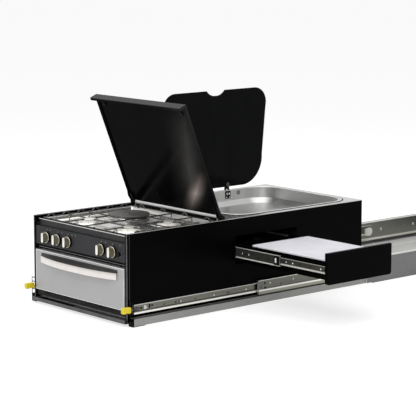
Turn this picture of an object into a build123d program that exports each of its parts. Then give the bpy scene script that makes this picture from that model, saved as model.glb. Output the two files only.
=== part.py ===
from build123d import *
import os
from math import cos, radians, sin, sqrt

# A slide-out kitchen for a vehicle: a sheet-metal body with a cooker, a sink and a side drawer,
# drawn out on two three-member slides from a cradle that is bolted to the floor.
# Lengths are in millimetres. X is the width, Y runs from the cooker's face back into the vehicle
# and Z is up. The origin is the centre of the cradle's bolt pattern, on the floor.
# The pieces lie as in use: kitchen out, drawer out, both lids open.

# Main slides and the way the kitchen travels
slide_extra_length = 24
slide_end_gap = 20
front_reveal = 22
slide_axis = 55.5
member_wall = 2
inner_height = 33
inner_reach = 7.5
inner_lip = 9
middle_height = 52
middle_reach = 14
middle_stand = 2.5
middle_lip = 18
outer_height = 76
outer_reach = 15
outer_stand = 20.5
slide_hole_radius = 3
slide_hole_pitch = 230
slide_hole_margin = 100

# Cradle
rail_wall = 2.5
rail_margin = 0.5
rail_stand = 32.5
rail_leg_margin = 3.5
floor_wall = 1.5
floor_setback = 43
bead_height = 5
bead_slope = 7
bead_width = 77
bead_inset = 41.5
crossmember_wall = 2.5
crossmember_depth = 12
bolt_inset_x = 145
bolt_inset_y = 175
bolt_hole_radius = 4.5

# Kitchen body
kitchen_width = 530
kitchen_length = 1126
kitchen_top = 315
panel_wall = 2
panel_fold = 10
panel_foot = 9
tray_wall = 1.5
bulkhead_wall = 2
bulkhead_fold = 14
channel_width = 27
channel_height = 25
channel_wall = 2
channel_lift = 3
foot_front = 4.5
foot_back = 60
foot_top = 19
foot_inset = 1
bracket_setback = 6.5
bracket_wall = 2
bracket_depth = 14
bracket_top = 88
bracket_windows = ((29, 43), (46, 70), (73, 85))
bar_reach = 10
bar_depth = 30
bar_top = 22
bar_wall = 2
hand_slot_length = 208
hand_slot_width = 18
hand_slot_inset = 28
hand_slot_setback = 2.5
drop_vent_width = 24
plinth_setback = 4
plinth_wall = 1.2
plinth_top = 48.5
plinth_foot = 30
vent_slot_length = 50
vent_slot_width = 4
vent_pitch = 60
vent_count = 7
vent_height = 43.5
service_width = 140
service_height = 70
service_centre = 150

# Cooker
casing_gap = 1
casing_wall = 1.2
casing_setback = 15
casing_depth = 425
casing_drop = 24
oven_inset = 50
oven_lift = 11
oven_roof_drop = 10
oven_back_gap = 41
oven_wall = 1
runner_width = 6
runner_height = 3
runner_lift = 56
shelf_wall = 4
shelf_clearance = 3
shelf_bar_pitch = 37
shelf_bar_gap = 26
oven_burner_radius = 8
oven_burner_lift = 12
valve_window_height = 50
hob_frame_height = 12
hob_frame_side = 22
hob_frame_front = 20
hob_frame_rear = 30
fascia_setback = 12
fascia_wall = 1.2
fascia_drop = 15
hob_tray_wall = 1.2
hob_tray_flare = 12
hob_tray_lift = 2
burner_shift = -8
burner_inset = 128
burner_spacing = 178
burner_first = 140
burner_ring_radius = 42
burner_ring_height = 3
burner_head_radius = 36
burner_head_height = 5
burner_slot_count = 12
burner_slot_width = 3
burner_cap_radius = 22
burner_cap_height = 2.5
hotplate_radius = 75
hotplate_height = 5
hotplate_neck = 7
hotplate_neck_inset = 12
hotplate_dish_radius = 20
hotplate_dish_depth = 1
wire_radius = 2.5
wire_sides = 8
support_margin = 4
fiddle_rise = 10
fiddle_run = 14
fiddle_side_count = 6
fiddle_rear_count = 4
finger_inner = 26

# Controls
controls_drop = 35
controls_height = 65
controls_inset = 12
controls_setback = 2
controls_wall = 1.2
trim_gap = 3
trim_height = 13
trim_setback = 9
knob_rise = 30.5
knob_pitch = 63
knob_inset = 66
knob_skirt_radius = 20
knob_skirt_height = 8
knob_body_radius = 18
knob_body_height = 5
grip_width = 12
grip_length = 35
grip_height = 10
knob_gap = 0.5
shaft_radius = 4
shaft_length = 26
valve_width = 26
valve_depth = 28
valve_height = 30
manifold_radius = 9
igniter_inset = 28
igniter_drop = 3
igniter_radius = 8.5
igniter_height = 8
igniter_shaft_radius = 3
igniter_shaft_length = 16

# Oven door
door_inset = 13
door_foot = 51
door_gap = 3
door_depth = 16
door_proud = 2
door_skin = 3
door_pin_rise = 4
door_pin_inset = 4
door_pin_radius = 3
door_ear_gap = 0.8
door_ear_wall = 2
door_ear_radius = 5.5
door_relief = 1
handle_inset = 36
handle_drop = 33
handle_height = 25
handle_bow = 32
handle_wall = 3.5
handle_post = 8
handle_post_depth = 12
handle_web_wall = 6
handle_web_rise = 4
handle_web_inset = 1

# Hob lid, drawn as it stands open
lid_angle = 68
lid_axis_rise = 7
lid_overhang = 1
lid_start = 8
lid_inset = 15
lid_wall = 1.5
lid_drop = 0.5
lid_lip = 31
lid_hem = 11
lid_flange = 9
lid_flange_start = 40
lid_pin_radius = 3
lid_rod_radius = 4.5
lid_knuckle_radius = 6
lid_knuckle_width = 4
lid_knuckle_reach = 40
lid_knuckle_depth = 8
lid_ear_inset = 37
lid_ear_wall = 3
lid_ear_base = 26
lid_ear_plate = 2

# Worktop with the sink
worktop_gap = 15
worktop_wall = 1.5
worktop_apron = 12
bowl_inset = 33
bowl_setback = 72
bowl_rear_ledge = 43
bowl_corner = 90
bowl_depth = 56
bowl_wall = 1.2
bowl_chamfer = 18.5
slope_wall_share = 2 - sqrt(2)
rim_width = 9
rim_height = 1.5
drain_inset_x = 132
drain_inset_y = 153
drain_hole_radius = 26
drain_flange_radius = 34
drain_flange_height = 1.5
drain_tail_radius = 20
drain_tail_length = 60
drain_basket_depth = 14
drain_nut_radius = 34
drain_nut_height = 9

# Glass lid over the sink, drawn as it stands open
glass_wall = 5
glass_setback = 52
glass_rear_inset = 31
glass_height = 376
glass_axis_inset = 27
glass_axis_rise = 12
glass_rise = 5
glass_face = 4
glass_notch_half_width = 46
glass_notch_depth = 20
glass_hinge_inset = 11
glass_pin_radius = 2.5
glass_knuckle_radius = 4.5
glass_knuckle_width = 12
glass_ear_wall = 3
clamp_wall = 3
clamp_radius = 9
clamp_rise = 14
leaf_height = 30
leaf_half_width = 13
leaf_wall = 2
leaf_drop = 1

# Side drawer
drawer_shortfall = 80
bay_setback = 33.5
bay_length = 303
opening_margin = 1.5
opening_drop = 63
opening_height = 102
opening_corner = 4
drawer_slide_drop = 58
drawer_slide_width = 12.7
drawer_slide_wall = 1.2
drawer_outer_height = 45.7
drawer_middle_height = 36
drawer_inner_height = 25
drawer_slide_reveal = 3
drawer_slide_play = 0.8
drawer_slide_recess = 2.9
outer_depth_share = 0.6
middle_depth_share = 0.8
inner_depth_share = 0.45
drawer_lift = 10
drawer_side_drop = 29
drawer_wall = 1.2
drawer_fold = 10
front_side_margin = 3.5
front_margin = 3
front_wall = 1.5
front_depth = 13
front_gap = 0.5
front_corner = 10
board_wall = 6
board_shortfall = 82
board_inset = 2.5
board_corner = 4
board_front_gap = 12

# Lock levers
lever_pivot = 40
lever_pin_radius = 3
lever_wall = 4.5
lever_height = 10
lever_tail = 8
lever_reach = 42
lever_paddle_height = 20
lever_paddle_width = 15
lever_paddle_inset = 2.7
lever_paddle_front = 31
lever_paddle_back = 2
lever_paddle_level = 59
lever_notch_length = 8
lever_notch_height = 3
lever_corner = 3

# Plastic and rubber parts of the main slides
retainer_length = 330
retainer_width = 4
retainer_play = 0.5
retainer_start = 14
cap_radius = 18
cap_reach = 6
cap_block_length = 22
cap_block_height = 30
cap_depth = 6
end_piece_length = 26
end_piece_depth = 3.9
end_piece_hole_radius = 4
bumper_width = 40
bumper_height = 24
bumper_level = 50
bumper_inset = 65

# Clearances
fit_gap = 0.05
run_gap = 0.3
overrun = 5

# Sizes and places worked out from the sizes above: lengths
half_width = kitchen_width / 2
slide_length = kitchen_length + slide_extra_length
kitchen_travel = slide_length - slide_end_gap
cradle_front = -slide_length / 2
cradle_back = slide_length / 2
front = cradle_front - front_reveal - kitchen_travel
back = front + kitchen_length
inner_front = front + front_reveal
middle_front = cradle_front - kitchen_travel / 2
panel_inside = half_width - panel_wall
tray_top = panel_foot + panel_wall + tray_wall
outer_face = half_width + outer_stand
crossmember_front = cradle_back - crossmember_depth
oven_depth = casing_depth - oven_back_gap
lid_axis_setback = casing_setback + casing_depth
lid_length = lid_axis_setback + lid_overhang
worktop_setback = lid_axis_setback + worktop_gap
bowl_start = worktop_setback + bowl_setback
bowl_end = kitchen_length - bowl_rear_ledge
glass_start = bowl_start + glass_setback
glass_half_width = (kitchen_length - glass_rear_inset - glass_start) / 2
glass_centre = glass_start + glass_half_width
glass_hinge_spacing = glass_half_width / 2 - glass_hinge_inset
bay_start = worktop_setback + bay_setback
drawer_travel = kitchen_width - drawer_shortfall
board_length = drawer_travel - board_shortfall

# Half widths and places across the kitchen
bead_centre = half_width - bead_inset
hand_slot_offset = hand_slot_inset + hand_slot_length / 2 - half_width
oven_half_width = half_width - oven_inset
controls_half_width = half_width - controls_inset
door_half_width = half_width - door_inset
handle_half_width = door_half_width - handle_inset
lid_half_width = half_width - lid_inset
lid_ear_place = half_width - lid_ear_inset
bowl_half_width = half_width - bowl_inset
front_half_width = bay_length / 2 + front_side_margin
igniter_place = controls_half_width - igniter_inset
knob_places = [knob_inset + index * knob_pitch - controls_half_width for index in range(3)]
knob_places += [controls_half_width - index * knob_pitch for index in (2, 1)]

# Levels
rail_top = slide_axis + outer_height / 2 + rail_margin
rail_leg_foot = slide_axis - outer_height / 2 - rail_leg_margin
casing_top = kitchen_top - casing_drop
hob_tray_floor = casing_top + hob_tray_lift
fascia_foot = casing_top - fascia_drop
controls_top = kitchen_top - controls_drop
controls_foot = controls_top - controls_height
knob_level = controls_foot + knob_rise
igniter_level = knob_level - igniter_drop
trim_top = controls_foot - trim_gap
trim_foot = trim_top - trim_height
door_top = trim_foot - door_gap
handle_level = door_top - handle_drop
oven_floor = door_foot + oven_lift
oven_roof = door_top - oven_roof_drop
runner_level = oven_floor + runner_lift
oven_burner_level = oven_floor + oven_burner_lift
bowl_floor = kitchen_top - bowl_depth
lid_axis_level = kitchen_top + lid_axis_rise
glass_axis_level = kitchen_top + glass_axis_rise
clamp_level = glass_axis_level + clamp_rise
opening_top = kitchen_top - opening_drop
opening_foot = opening_top - opening_height
drawer_slide_level = opening_top - drawer_slide_drop
drawer_foot = opening_foot + drawer_lift
drawer_side_top = opening_top - drawer_side_drop
front_foot = opening_foot - front_margin
front_top = opening_top + front_margin


def section(y):
    """The plane across the width at y, with its own x along X and its own y along Z."""
    return Plane.XZ.offset(-y)


def bar(plane, x_range, y_range, depth, mode=Mode.ADD):
    """A rectangular bar from a plane."""
    with BuildSketch(plane) as outline:
        with Locations((sum(x_range) / 2, sum(y_range) / 2)):
            Rectangle(x_range[1] - x_range[0], y_range[1] - y_range[0])
    extrude(outline.sketch, amount=depth, mode=mode)


def fold(points, wall, plane, length, side):
    """A folded sheet: the path of its bends in a plane, given its wall and drawn out."""
    with BuildSketch(plane) as profile:
        with BuildLine():
            Polyline(*points)
            offset(amount=wall, side=side, kind=Kind.INTERSECTION)
        make_face()
    extrude(profile.sketch, amount=length)


def drum(plane, centre, radius, depth, mode=Mode.ADD):
    """A round boss, pin or hole from a plane."""
    with BuildSketch(plane) as outline:
        with Locations(centre):
            Circle(radius)
    extrude(outline.sketch, amount=depth, mode=mode)


def slide_holes(plane, middle, length, depth):
    """A row of round holes along a slide's member, kept clear of its ends."""
    count = 1 + int((length - 2 * slide_hole_margin) / slide_hole_pitch)
    with BuildSketch(plane) as outline:
        with Locations((middle, slide_axis)):
            with GridLocations(slide_hole_pitch, 0, count, 1):
                Circle(slide_hole_radius)
    extrude(outline.sketch, amount=-depth, mode=Mode.SUBTRACT)


def keep(piece, name):
    """Labels a finished piece and writes it to its own file."""
    piece.part.label = name
    export_step(piece.part, f"parts/{name}.step")


os.makedirs("parts", exist_ok=True)

# Cradle floor: one sheet with two stiffening beads and the bolt holes.
rail_outside = half_width + rail_stand
rail_inside = rail_outside - rail_wall
bead_in = bead_centre - bead_width / 2
bead_out = bead_centre + bead_width / 2
floor_path = [
    (-rail_inside, 0),
    (-bead_out, 0),
    (-bead_out + bead_slope, bead_height),
    (-bead_in - bead_slope, bead_height),
    (-bead_in, 0),
    (bead_in, 0),
    (bead_in + bead_slope, bead_height),
    (bead_out - bead_slope, bead_height),
    (bead_out, 0),
    (rail_inside, 0),
]
floor_front = cradle_front + floor_setback
with BuildPart() as cradle_floor:
    fold(floor_path, floor_wall, section(floor_front), floor_front - crossmember_front, Side.LEFT)
    with BuildSketch(Plane.XY) as bolt_holes:
        with GridLocations(kitchen_width - 2 * bolt_inset_x, slide_length - 2 * bolt_inset_y, 2, 2):
            Circle(bolt_hole_radius)
    extrude(bolt_holes.sketch, amount=floor_wall + overrun, mode=Mode.SUBTRACT)
keep(cradle_floor, "cradle_floor")

# Cradle rails: an inner leg for the slide, a web on top and an outer leg down to the floor.
rail_path = [
    (outer_face, rail_leg_foot),
    (outer_face, rail_top),
    (rail_outside, rail_top),
    (rail_outside, 0),
]
with BuildPart() as cradle_rail_right:
    fold(rail_path, rail_wall, section(cradle_front), -slide_length, Side.LEFT)
with BuildPart() as cradle_rail_left:
    mirror(cradle_rail_right.part, about=Plane.YZ)
keep(cradle_rail_right, "cradle_rail_right")
keep(cradle_rail_left, "cradle_rail_left")

# Rear crossmember: an angle between the rails, standing on the floor at the back.
crossmember_path = [
    (crossmember_front, 0),
    (crossmember_front, rail_top),
    (cradle_back, rail_top),
]
with BuildPart() as cradle_crossmember:
    fold(crossmember_path, crossmember_wall, Plane.YZ.offset(-outer_face), 2 * outer_face, Side.RIGHT)
    for side in (-1, 1):
        with BuildSketch(section(cradle_back + overrun)) as slide_ends:
            with Locations((side * (half_width + outer_face) / 2, slide_axis)):
                Rectangle(outer_face - half_width, outer_height)
        extrude(slide_ends.sketch, amount=crossmember_depth + 2 * overrun, mode=Mode.SUBTRACT)
keep(cradle_crossmember, "cradle_crossmember")

# Outer members of the main slides: channels open towards the kitchen.
outer_path = [
    (outer_face - outer_reach, slide_axis + outer_height / 2),
    (outer_face, slide_axis + outer_height / 2),
    (outer_face, slide_axis - outer_height / 2),
    (outer_face - outer_reach, slide_axis - outer_height / 2),
]
with BuildPart() as outer_slide_right:
    fold(outer_path, member_wall, section(cradle_front), -slide_length, Side.RIGHT)
    slide_holes(Plane.YZ.offset(outer_face), 0, slide_length, outer_reach - member_wall)
with BuildPart() as outer_slide_left:
    mirror(outer_slide_right.part, about=Plane.YZ)
keep(outer_slide_right, "outer_slide_right")
keep(outer_slide_left, "outer_slide_left")

# Middle members: two flanges joined by a web, the lower one with a lip turned up, running
# between the other two members.
middle_in = half_width + middle_stand
middle_out = middle_in + middle_reach
middle_centre = (middle_in + middle_out) / 2
with BuildPart() as middle_slide_right:
    with BuildSketch(section(middle_front)) as middle_profile:
        with Locations((middle_centre, slide_axis)):
            Rectangle(middle_reach, middle_height)
            with GridLocations((middle_reach + member_wall) / 2, 0, 2, 1):
                Rectangle(
                    (middle_reach - member_wall) / 2,
                    middle_height - 2 * member_wall,
                    mode=Mode.SUBTRACT,
                )
        with Locations((middle_out - member_wall / 2, slide_axis + (middle_lip - middle_height) / 2)):
            Rectangle(member_wall, middle_lip)
    extrude(middle_profile.sketch, amount=-slide_length)
    slide_holes(Plane.YZ.offset(middle_out), middle_front + slide_length / 2, slide_length, middle_reach)
with BuildPart() as middle_slide_left:
    mirror(middle_slide_right.part, about=Plane.YZ)
keep(middle_slide_right, "middle_slide_right")
keep(middle_slide_left, "middle_slide_left")

# Ball retainers: strips that run in the gaps between the members' flanges, and the end pieces
# at the middle members' front ends.
inner_room = (middle_height - inner_height) / 2 - member_wall
outer_room = (outer_height - middle_height) / 2 - member_wall
inner_strip = (half_width + member_wall + retainer_play, middle_centre - member_wall / 2)
outer_strip = (middle_centre, middle_centre + retainer_width)
with BuildPart() as ball_retainers:
    for sign in (-1, 1):
        inner_edge = slide_axis + sign * (middle_height / 2 - member_wall)
        outer_edge = slide_axis + sign * middle_height / 2
        inner_span = sorted((inner_edge, inner_edge - sign * (inner_room - retainer_play)))
        outer_span = sorted((outer_edge, outer_edge + sign * (outer_room - retainer_play)))
        bar(section(middle_front + retainer_start), inner_strip, inner_span, -retainer_length)
        bar(section(cradle_front + retainer_start), outer_strip, outer_span, -retainer_length)
    with BuildSketch(Plane.YZ.offset(middle_centre + member_wall / 2)) as end_piece:
        with Locations((middle_front + end_piece_length / 2, slide_axis)):
            Rectangle(end_piece_length, middle_height - 2 * member_wall)
            Circle(end_piece_hole_radius, mode=Mode.SUBTRACT)
    extrude(end_piece.sketch, amount=end_piece_depth)
    mirror(about=Plane.YZ)
keep(ball_retainers, "ball_retainers")

# End caps of the middle members, with a round nose at the back.
cap_centre = middle_front + slide_length + cap_reach - cap_radius
with BuildPart() as middle_slide_caps:
    with BuildSketch(Plane.YZ.offset(middle_in)) as cap_outline:
        with Locations((cap_centre - cap_block_length / 2, slide_axis)):
            Rectangle(cap_block_length, cap_block_height)
        with Locations((cap_centre, slide_axis)):
            Circle(cap_radius)
    extrude(cap_outline.sketch, amount=cap_depth)
    mirror(about=Plane.YZ)
keep(middle_slide_caps, "middle_slide_caps")

# Rubber stops on the crossmember, which meet the kitchen's back when it is pushed in.
bumper_length = crossmember_front - (back + kitchen_travel) - run_gap
with BuildPart() as end_bumpers:
    with BuildSketch(section(crossmember_front)) as bumper_faces:
        with Locations((0, bumper_level)):
            with GridLocations(kitchen_width - 2 * bumper_inset, 0, 2, 1):
                Rectangle(bumper_width, bumper_height)
    extrude(bumper_faces.sketch, amount=bumper_length, taper=4)
keep(end_bumpers, "end_bumpers")

# Inner members of the main slides, fixed to the side panels: channels with a lip turned up at
# the foot, each with its lever's pin.
inner_path = [
    (half_width + inner_reach, slide_axis + inner_height / 2),
    (half_width, slide_axis + inner_height / 2),
    (half_width, slide_axis - inner_height / 2),
    (half_width + inner_reach, slide_axis - inner_height / 2),
    (half_width + inner_reach, slide_axis - inner_height / 2 + inner_lip),
]
inner_length = back - inner_front
lever_pivot_y = front + lever_pivot
lever_in = half_width + member_wall + run_gap
lever_out = lever_in + lever_wall
with BuildPart() as inner_slide_right:
    fold(inner_path, member_wall, section(inner_front), -inner_length, Side.LEFT)
    inner_middle = inner_front + inner_length / 2
    slide_holes(Plane.YZ.offset(half_width + member_wall), inner_middle, inner_length, member_wall)
    drum(Plane.YZ.offset(half_width), (lever_pivot_y, slide_axis), lever_pin_radius, inner_reach)
with BuildPart() as inner_slide_left:
    mirror(inner_slide_right.part, about=Plane.YZ)
keep(inner_slide_right, "inner_slide_right")
keep(inner_slide_left, "inner_slide_left")

# Lock levers: a flat arm on the pin with a thick paddle ahead of the panel, notched below.
with BuildPart() as lock_lever_right:
    with BuildSketch(Plane.YZ.offset(lever_in)) as lever_arm:
        with Locations((lever_pivot_y + (lever_tail - lever_reach) / 2, slide_axis)):
            RectangleRounded(lever_tail + lever_reach, lever_height, lever_corner)
        with Locations((lever_pivot_y, slide_axis)):
            Circle(lever_pin_radius + fit_gap, mode=Mode.SUBTRACT)
    extrude(lever_arm.sketch, amount=lever_wall)
    paddle_middle = front + (lever_paddle_back - lever_paddle_front) / 2
    paddle_foot = lever_paddle_level - lever_paddle_height / 2
    with BuildSketch(Plane.YZ.offset(lever_in + lever_paddle_inset)) as lever_paddle:
        with Locations((paddle_middle, lever_paddle_level)):
            RectangleRounded(lever_paddle_front + lever_paddle_back, lever_paddle_height, lever_corner)
        with Locations((paddle_middle, paddle_foot)):
            Rectangle(lever_notch_length, 2 * lever_notch_height, mode=Mode.SUBTRACT)
    extrude(lever_paddle.sketch, amount=lever_paddle_width)
with BuildPart() as lock_lever_left:
    mirror(lock_lever_right.part, about=Plane.YZ)
keep(lock_lever_right, "lock_lever_right")
keep(lock_lever_left, "lock_lever_left")

# Base channels: the grey troughs along the foot of the side panels.
channel_outside = half_width + channel_width
channel_path = [
    (half_width, channel_lift + channel_height),
    (half_width, channel_lift),
    (channel_outside, channel_lift),
    (channel_outside, channel_lift + channel_height),
]
bracket_front = front + bracket_setback
channel_front = bracket_front + bracket_wall
with BuildPart() as base_channel_right:
    fold(channel_path, channel_wall, section(channel_front), channel_front - back, Side.LEFT)
with BuildPart() as base_channel_left:
    mirror(base_channel_right.part, about=Plane.YZ)
keep(base_channel_right, "base_channel_right")
keep(base_channel_left, "base_channel_left")

# Front brackets: a plate with windows across each channel's end, and a leg back along the panel.
# The lever's arm passes through the middle window.
with BuildPart() as front_brackets:
    with BuildSketch(section(bracket_front)) as bracket_plate:
        with Locations(((half_width + channel_outside) / 2, (channel_lift + bracket_top) / 2)):
            Rectangle(channel_width, bracket_top - channel_lift)
        for low, high in bracket_windows:
            with Locations(((half_width + channel_outside) / 2, (low + high) / 2)):
                Rectangle(channel_width - 2 * bracket_wall, high - low, mode=Mode.SUBTRACT)
    extrude(bracket_plate.sketch, amount=-bracket_wall)
    leg_span = (half_width, half_width + bracket_wall)
    leg_band = (channel_lift + channel_height, bracket_top)
    bar(section(bracket_front), leg_span, leg_band, -bracket_depth)
    mirror(about=Plane.YZ)
keep(front_brackets, "front_brackets")

# Feet: rubber pads under the channels' front ends, each with a nose ahead of its bracket.
foot_path = [
    (front + foot_front, 0),
    (front + foot_back, 0),
    (front + foot_back, channel_lift),
    (bracket_front, channel_lift),
    (bracket_front, foot_top),
    (front + foot_front, foot_top),
]
with BuildPart() as front_feet:
    with BuildSketch(Plane.YZ.offset(half_width + foot_inset)) as foot_profile:
        with BuildLine():
            Polyline(*foot_path, close=True)
        make_face()
    extrude(foot_profile.sketch, amount=channel_width - channel_wall - 2 * foot_inset)
    mirror(about=Plane.YZ)
keep(front_feet, "front_feet")

# Front bar: a shelf with the hand slot, a lip down its front and a leg back to the base tray.
# Ahead of the panels it is as wide as the body, with a return at each end.
bar_path = [
    (front - bar_reach, panel_foot),
    (front - bar_reach, bar_top),
    (front + bar_depth, bar_top),
    (front + bar_depth, tray_top),
]
bar_half_width = half_width - panel_fold - run_gap
with BuildPart() as front_bar:
    fold(bar_path, bar_wall, Plane.YZ.offset(-bar_half_width), 2 * bar_half_width, Side.RIGHT)
    lip_band = (panel_foot, bar_top)
    bar(section(front - bar_reach), (-half_width, half_width), lip_band, -bar_wall)
    bar(Plane.XY.offset(bar_top), (-half_width, half_width), (front - bar_reach, front), -bar_wall)
    for side in (-1, 1):
        end_span = sorted((side * half_width, side * (half_width - bar_wall)))
        bar(section(front - bar_reach), end_span, lip_band, -bar_reach)
    with BuildSketch(Plane.XY.offset(bar_top)) as hand_slot:
        with Locations((hand_slot_offset, front + hand_slot_setback)):
            SlotOverall(hand_slot_length, hand_slot_width)
    extrude(hand_slot.sketch, amount=-bar_wall - overrun, mode=Mode.SUBTRACT)
keep(front_bar, "front_bar")

# Vent plinth below the oven door.
plinth_path = [
    (front + plinth_setback, plinth_foot),
    (front + plinth_setback, plinth_top),
    (front + casing_setback, plinth_top),
]
with BuildPart() as vent_plinth:
    fold(plinth_path, plinth_wall, Plane.YZ.offset(-bar_half_width), 2 * bar_half_width, Side.RIGHT)
    with BuildSketch(section(front + plinth_setback - overrun)) as vents:
        with Locations((0, vent_height)):
            with GridLocations(vent_pitch, 0, vent_count, 1):
                Rectangle(vent_slot_length, vent_slot_width)
    extrude(vents.sketch, amount=-overrun - plinth_wall - overrun, mode=Mode.SUBTRACT)
keep(vent_plinth, "vent_plinth")

# Side panels: sheets folded in along all four edges; the right one has the drawer's opening.
bay_end = bay_start + bay_length
opening_start = bay_start + opening_margin
opening_length = bay_length - 2 * opening_margin
panel_height = kitchen_top - panel_foot
panel_middle = ((front + back) / 2, (panel_foot + kitchen_top) / 2)
with BuildPart() as side_panel_left:
    with BuildSketch(Plane.YZ.offset(-half_width)) as panel_outline:
        with Locations(panel_middle):
            Rectangle(kitchen_length, panel_height)
    extrude(panel_outline.sketch, amount=panel_fold)
    with BuildSketch(Plane.YZ.offset(-panel_inside)) as panel_hollow:
        with Locations(panel_middle):
            Rectangle(kitchen_length - 2 * panel_wall, panel_height - 2 * panel_wall)
    extrude(panel_hollow.sketch, amount=panel_fold, mode=Mode.SUBTRACT)
with BuildPart() as side_panel_right:
    mirror(side_panel_left.part, about=Plane.YZ)
    with BuildSketch(Plane.YZ.offset(half_width + overrun)) as drawer_opening:
        with Locations((front + bay_start + bay_length / 2, (opening_foot + opening_top) / 2)):
            RectangleRounded(opening_length, opening_top - opening_foot, opening_corner)
    extrude(drawer_opening.sketch, amount=-panel_wall - 2 * overrun, mode=Mode.SUBTRACT)
keep(side_panel_left, "side_panel_left")
keep(side_panel_right, "side_panel_right")

# Base tray on the panels' lower folds, with slots that let spilt gas out.
with BuildPart() as base_tray:
    bar(
        Plane.XY.offset(panel_foot + panel_wall),
        (-panel_inside, panel_inside),
        (front + panel_wall, back - panel_wall),
        tray_wall,
    )
    with BuildSketch(Plane.XY.offset(panel_foot)) as drop_vents:
        with Locations((0, front + casing_setback + casing_depth / 2)):
            with GridLocations(oven_half_width / 2, 0, 4, 1):
                SlotOverall(hand_slot_length / 2, drop_vent_width, rotation=90)
    extrude(drop_vents.sketch, amount=panel_wall + tray_wall + overrun, mode=Mode.SUBTRACT)
keep(base_tray, "base_tray")

# Rear panel with its opening for the hoses.
rear_top = kitchen_top - panel_wall
with BuildPart() as rear_panel:
    bar(section(back - panel_wall), (-panel_inside, panel_inside), (tray_top, rear_top), tray_wall)
    with BuildSketch(section(back)) as service_opening:
        with Locations((0, service_centre)):
            RectangleRounded(service_width, service_height, opening_corner)
    extrude(service_opening.sketch, amount=overrun + tray_wall, mode=Mode.SUBTRACT)
keep(rear_panel, "rear_panel")

# Bulkheads on both sides of the drawer bay; each has a fold on the base tray.
bowl_underside = bowl_floor - bowl_wall
bay_front = front + bay_start
bay_back = front + bay_end
with BuildPart() as bay_bulkheads:
    fold(
        [(bay_front - bulkhead_fold, tray_top), (bay_front, tray_top), (bay_front, bowl_underside)],
        bulkhead_wall,
        Plane.YZ.offset(-panel_inside),
        2 * panel_inside,
        Side.LEFT,
    )
    fold(
        [(bay_back + bulkhead_fold, tray_top), (bay_back, tray_top), (bay_back, bowl_underside)],
        bulkhead_wall,
        Plane.YZ.offset(-panel_inside),
        2 * panel_inside,
        Side.RIGHT,
    )
keep(bay_bulkheads, "bay_bulkheads")

# Worktop: a plate with an apron at its front and a cut-out for the bowl.
bowl_length = bowl_end - bowl_start
bowl_middle = (0, front + (bowl_start + bowl_end) / 2)
worktop_front = front + worktop_setback
worktop_top = kitchen_top + worktop_wall


def bowl_outline(level, margin):
    """The bowl's rounded outline at a level, wider by a margin on all sides."""
    with BuildSketch(Plane.XY.offset(level)) as outline:
        with Locations(bowl_middle):
            RectangleRounded(
                2 * (bowl_half_width + margin),
                bowl_length + 2 * margin,
                bowl_corner + margin,
            )
    return outline.sketch


with BuildPart() as worktop:
    fold(
        [
            (worktop_front, worktop_top - worktop_apron),
            (worktop_front, worktop_top),
            (back, worktop_top),
        ],
        worktop_wall,
        Plane.YZ.offset(-half_width),
        kitchen_width,
        Side.RIGHT,
    )
    for side in (-1, 1):
        apron_clear = sorted((side * (half_width - panel_fold - run_gap), side * (half_width + overrun)))
        bar(
            section(worktop_front - overrun),
            apron_clear,
            (worktop_top - worktop_apron - overrun, kitchen_top),
            -worktop_wall - 2 * overrun,
            Mode.SUBTRACT,
        )
    extrude(
        bowl_outline(kitchen_top - overrun, bowl_wall + run_gap),
        amount=worktop_wall + 2 * overrun,
        mode=Mode.SUBTRACT,
    )
keep(worktop, "worktop")

# Sink bowl: a pressed shell that hangs by its rim in the cut-out, with a sloped foot all round.
with BuildPart() as bowl_void:
    extrude(bowl_outline(bowl_floor, 0), amount=worktop_top + rim_height + overrun - bowl_floor)
    chamfer(bowl_void.edges().group_by(Axis.Z)[0], bowl_chamfer)
with BuildPart() as sink_bowl:
    extrude(bowl_outline(bowl_underside, bowl_wall), amount=worktop_top - bowl_underside)
    bottom = sink_bowl.faces().filter_by(Axis.Z).sort_by(Axis.Z)[0]
    chamfer(bottom.edges(), bowl_chamfer + bowl_wall * slope_wall_share)
    extrude(bowl_outline(worktop_top, rim_width), amount=rim_height)
    top = sink_bowl.faces().filter_by(Axis.Z).sort_by(Axis.Z)[-1]
    chamfer(top.edges(), rim_height / 2)
    add(bowl_void.part, mode=Mode.SUBTRACT)
    drain_place = (bowl_half_width - drain_inset_x, front + bowl_end - drain_inset_y)
    drum(Plane.XY.offset(bowl_floor + overrun), drain_place, drain_hole_radius, -2 * overrun, Mode.SUBTRACT)
keep(sink_bowl, "sink_bowl")

# Drain: a flange on the bowl's floor, a hexagonal nut below it and a tailpiece open from above.
with BuildPart() as sink_drain:
    drum(Plane.XY.offset(bowl_floor), drain_place, drain_flange_radius, drain_flange_height)
    drum(Plane.XY.offset(bowl_underside), drain_place, drain_hole_radius, bowl_wall)
    with BuildSketch(Plane.XY.offset(bowl_underside)) as nut_outline:
        with Locations(drain_place):
            RegularPolygon(drain_nut_radius, 6)
    extrude(nut_outline.sketch, amount=-drain_nut_height)
    drum(Plane.XY.offset(bowl_underside), drain_place, drain_tail_radius, -drain_tail_length)
    drum(
        Plane.XY.offset(bowl_floor + drain_flange_height),
        drain_place,
        drain_tail_radius - bowl_wall,
        -drain_basket_depth,
        Mode.SUBTRACT,
    )
keep(sink_drain, "sink_drain")

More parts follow.
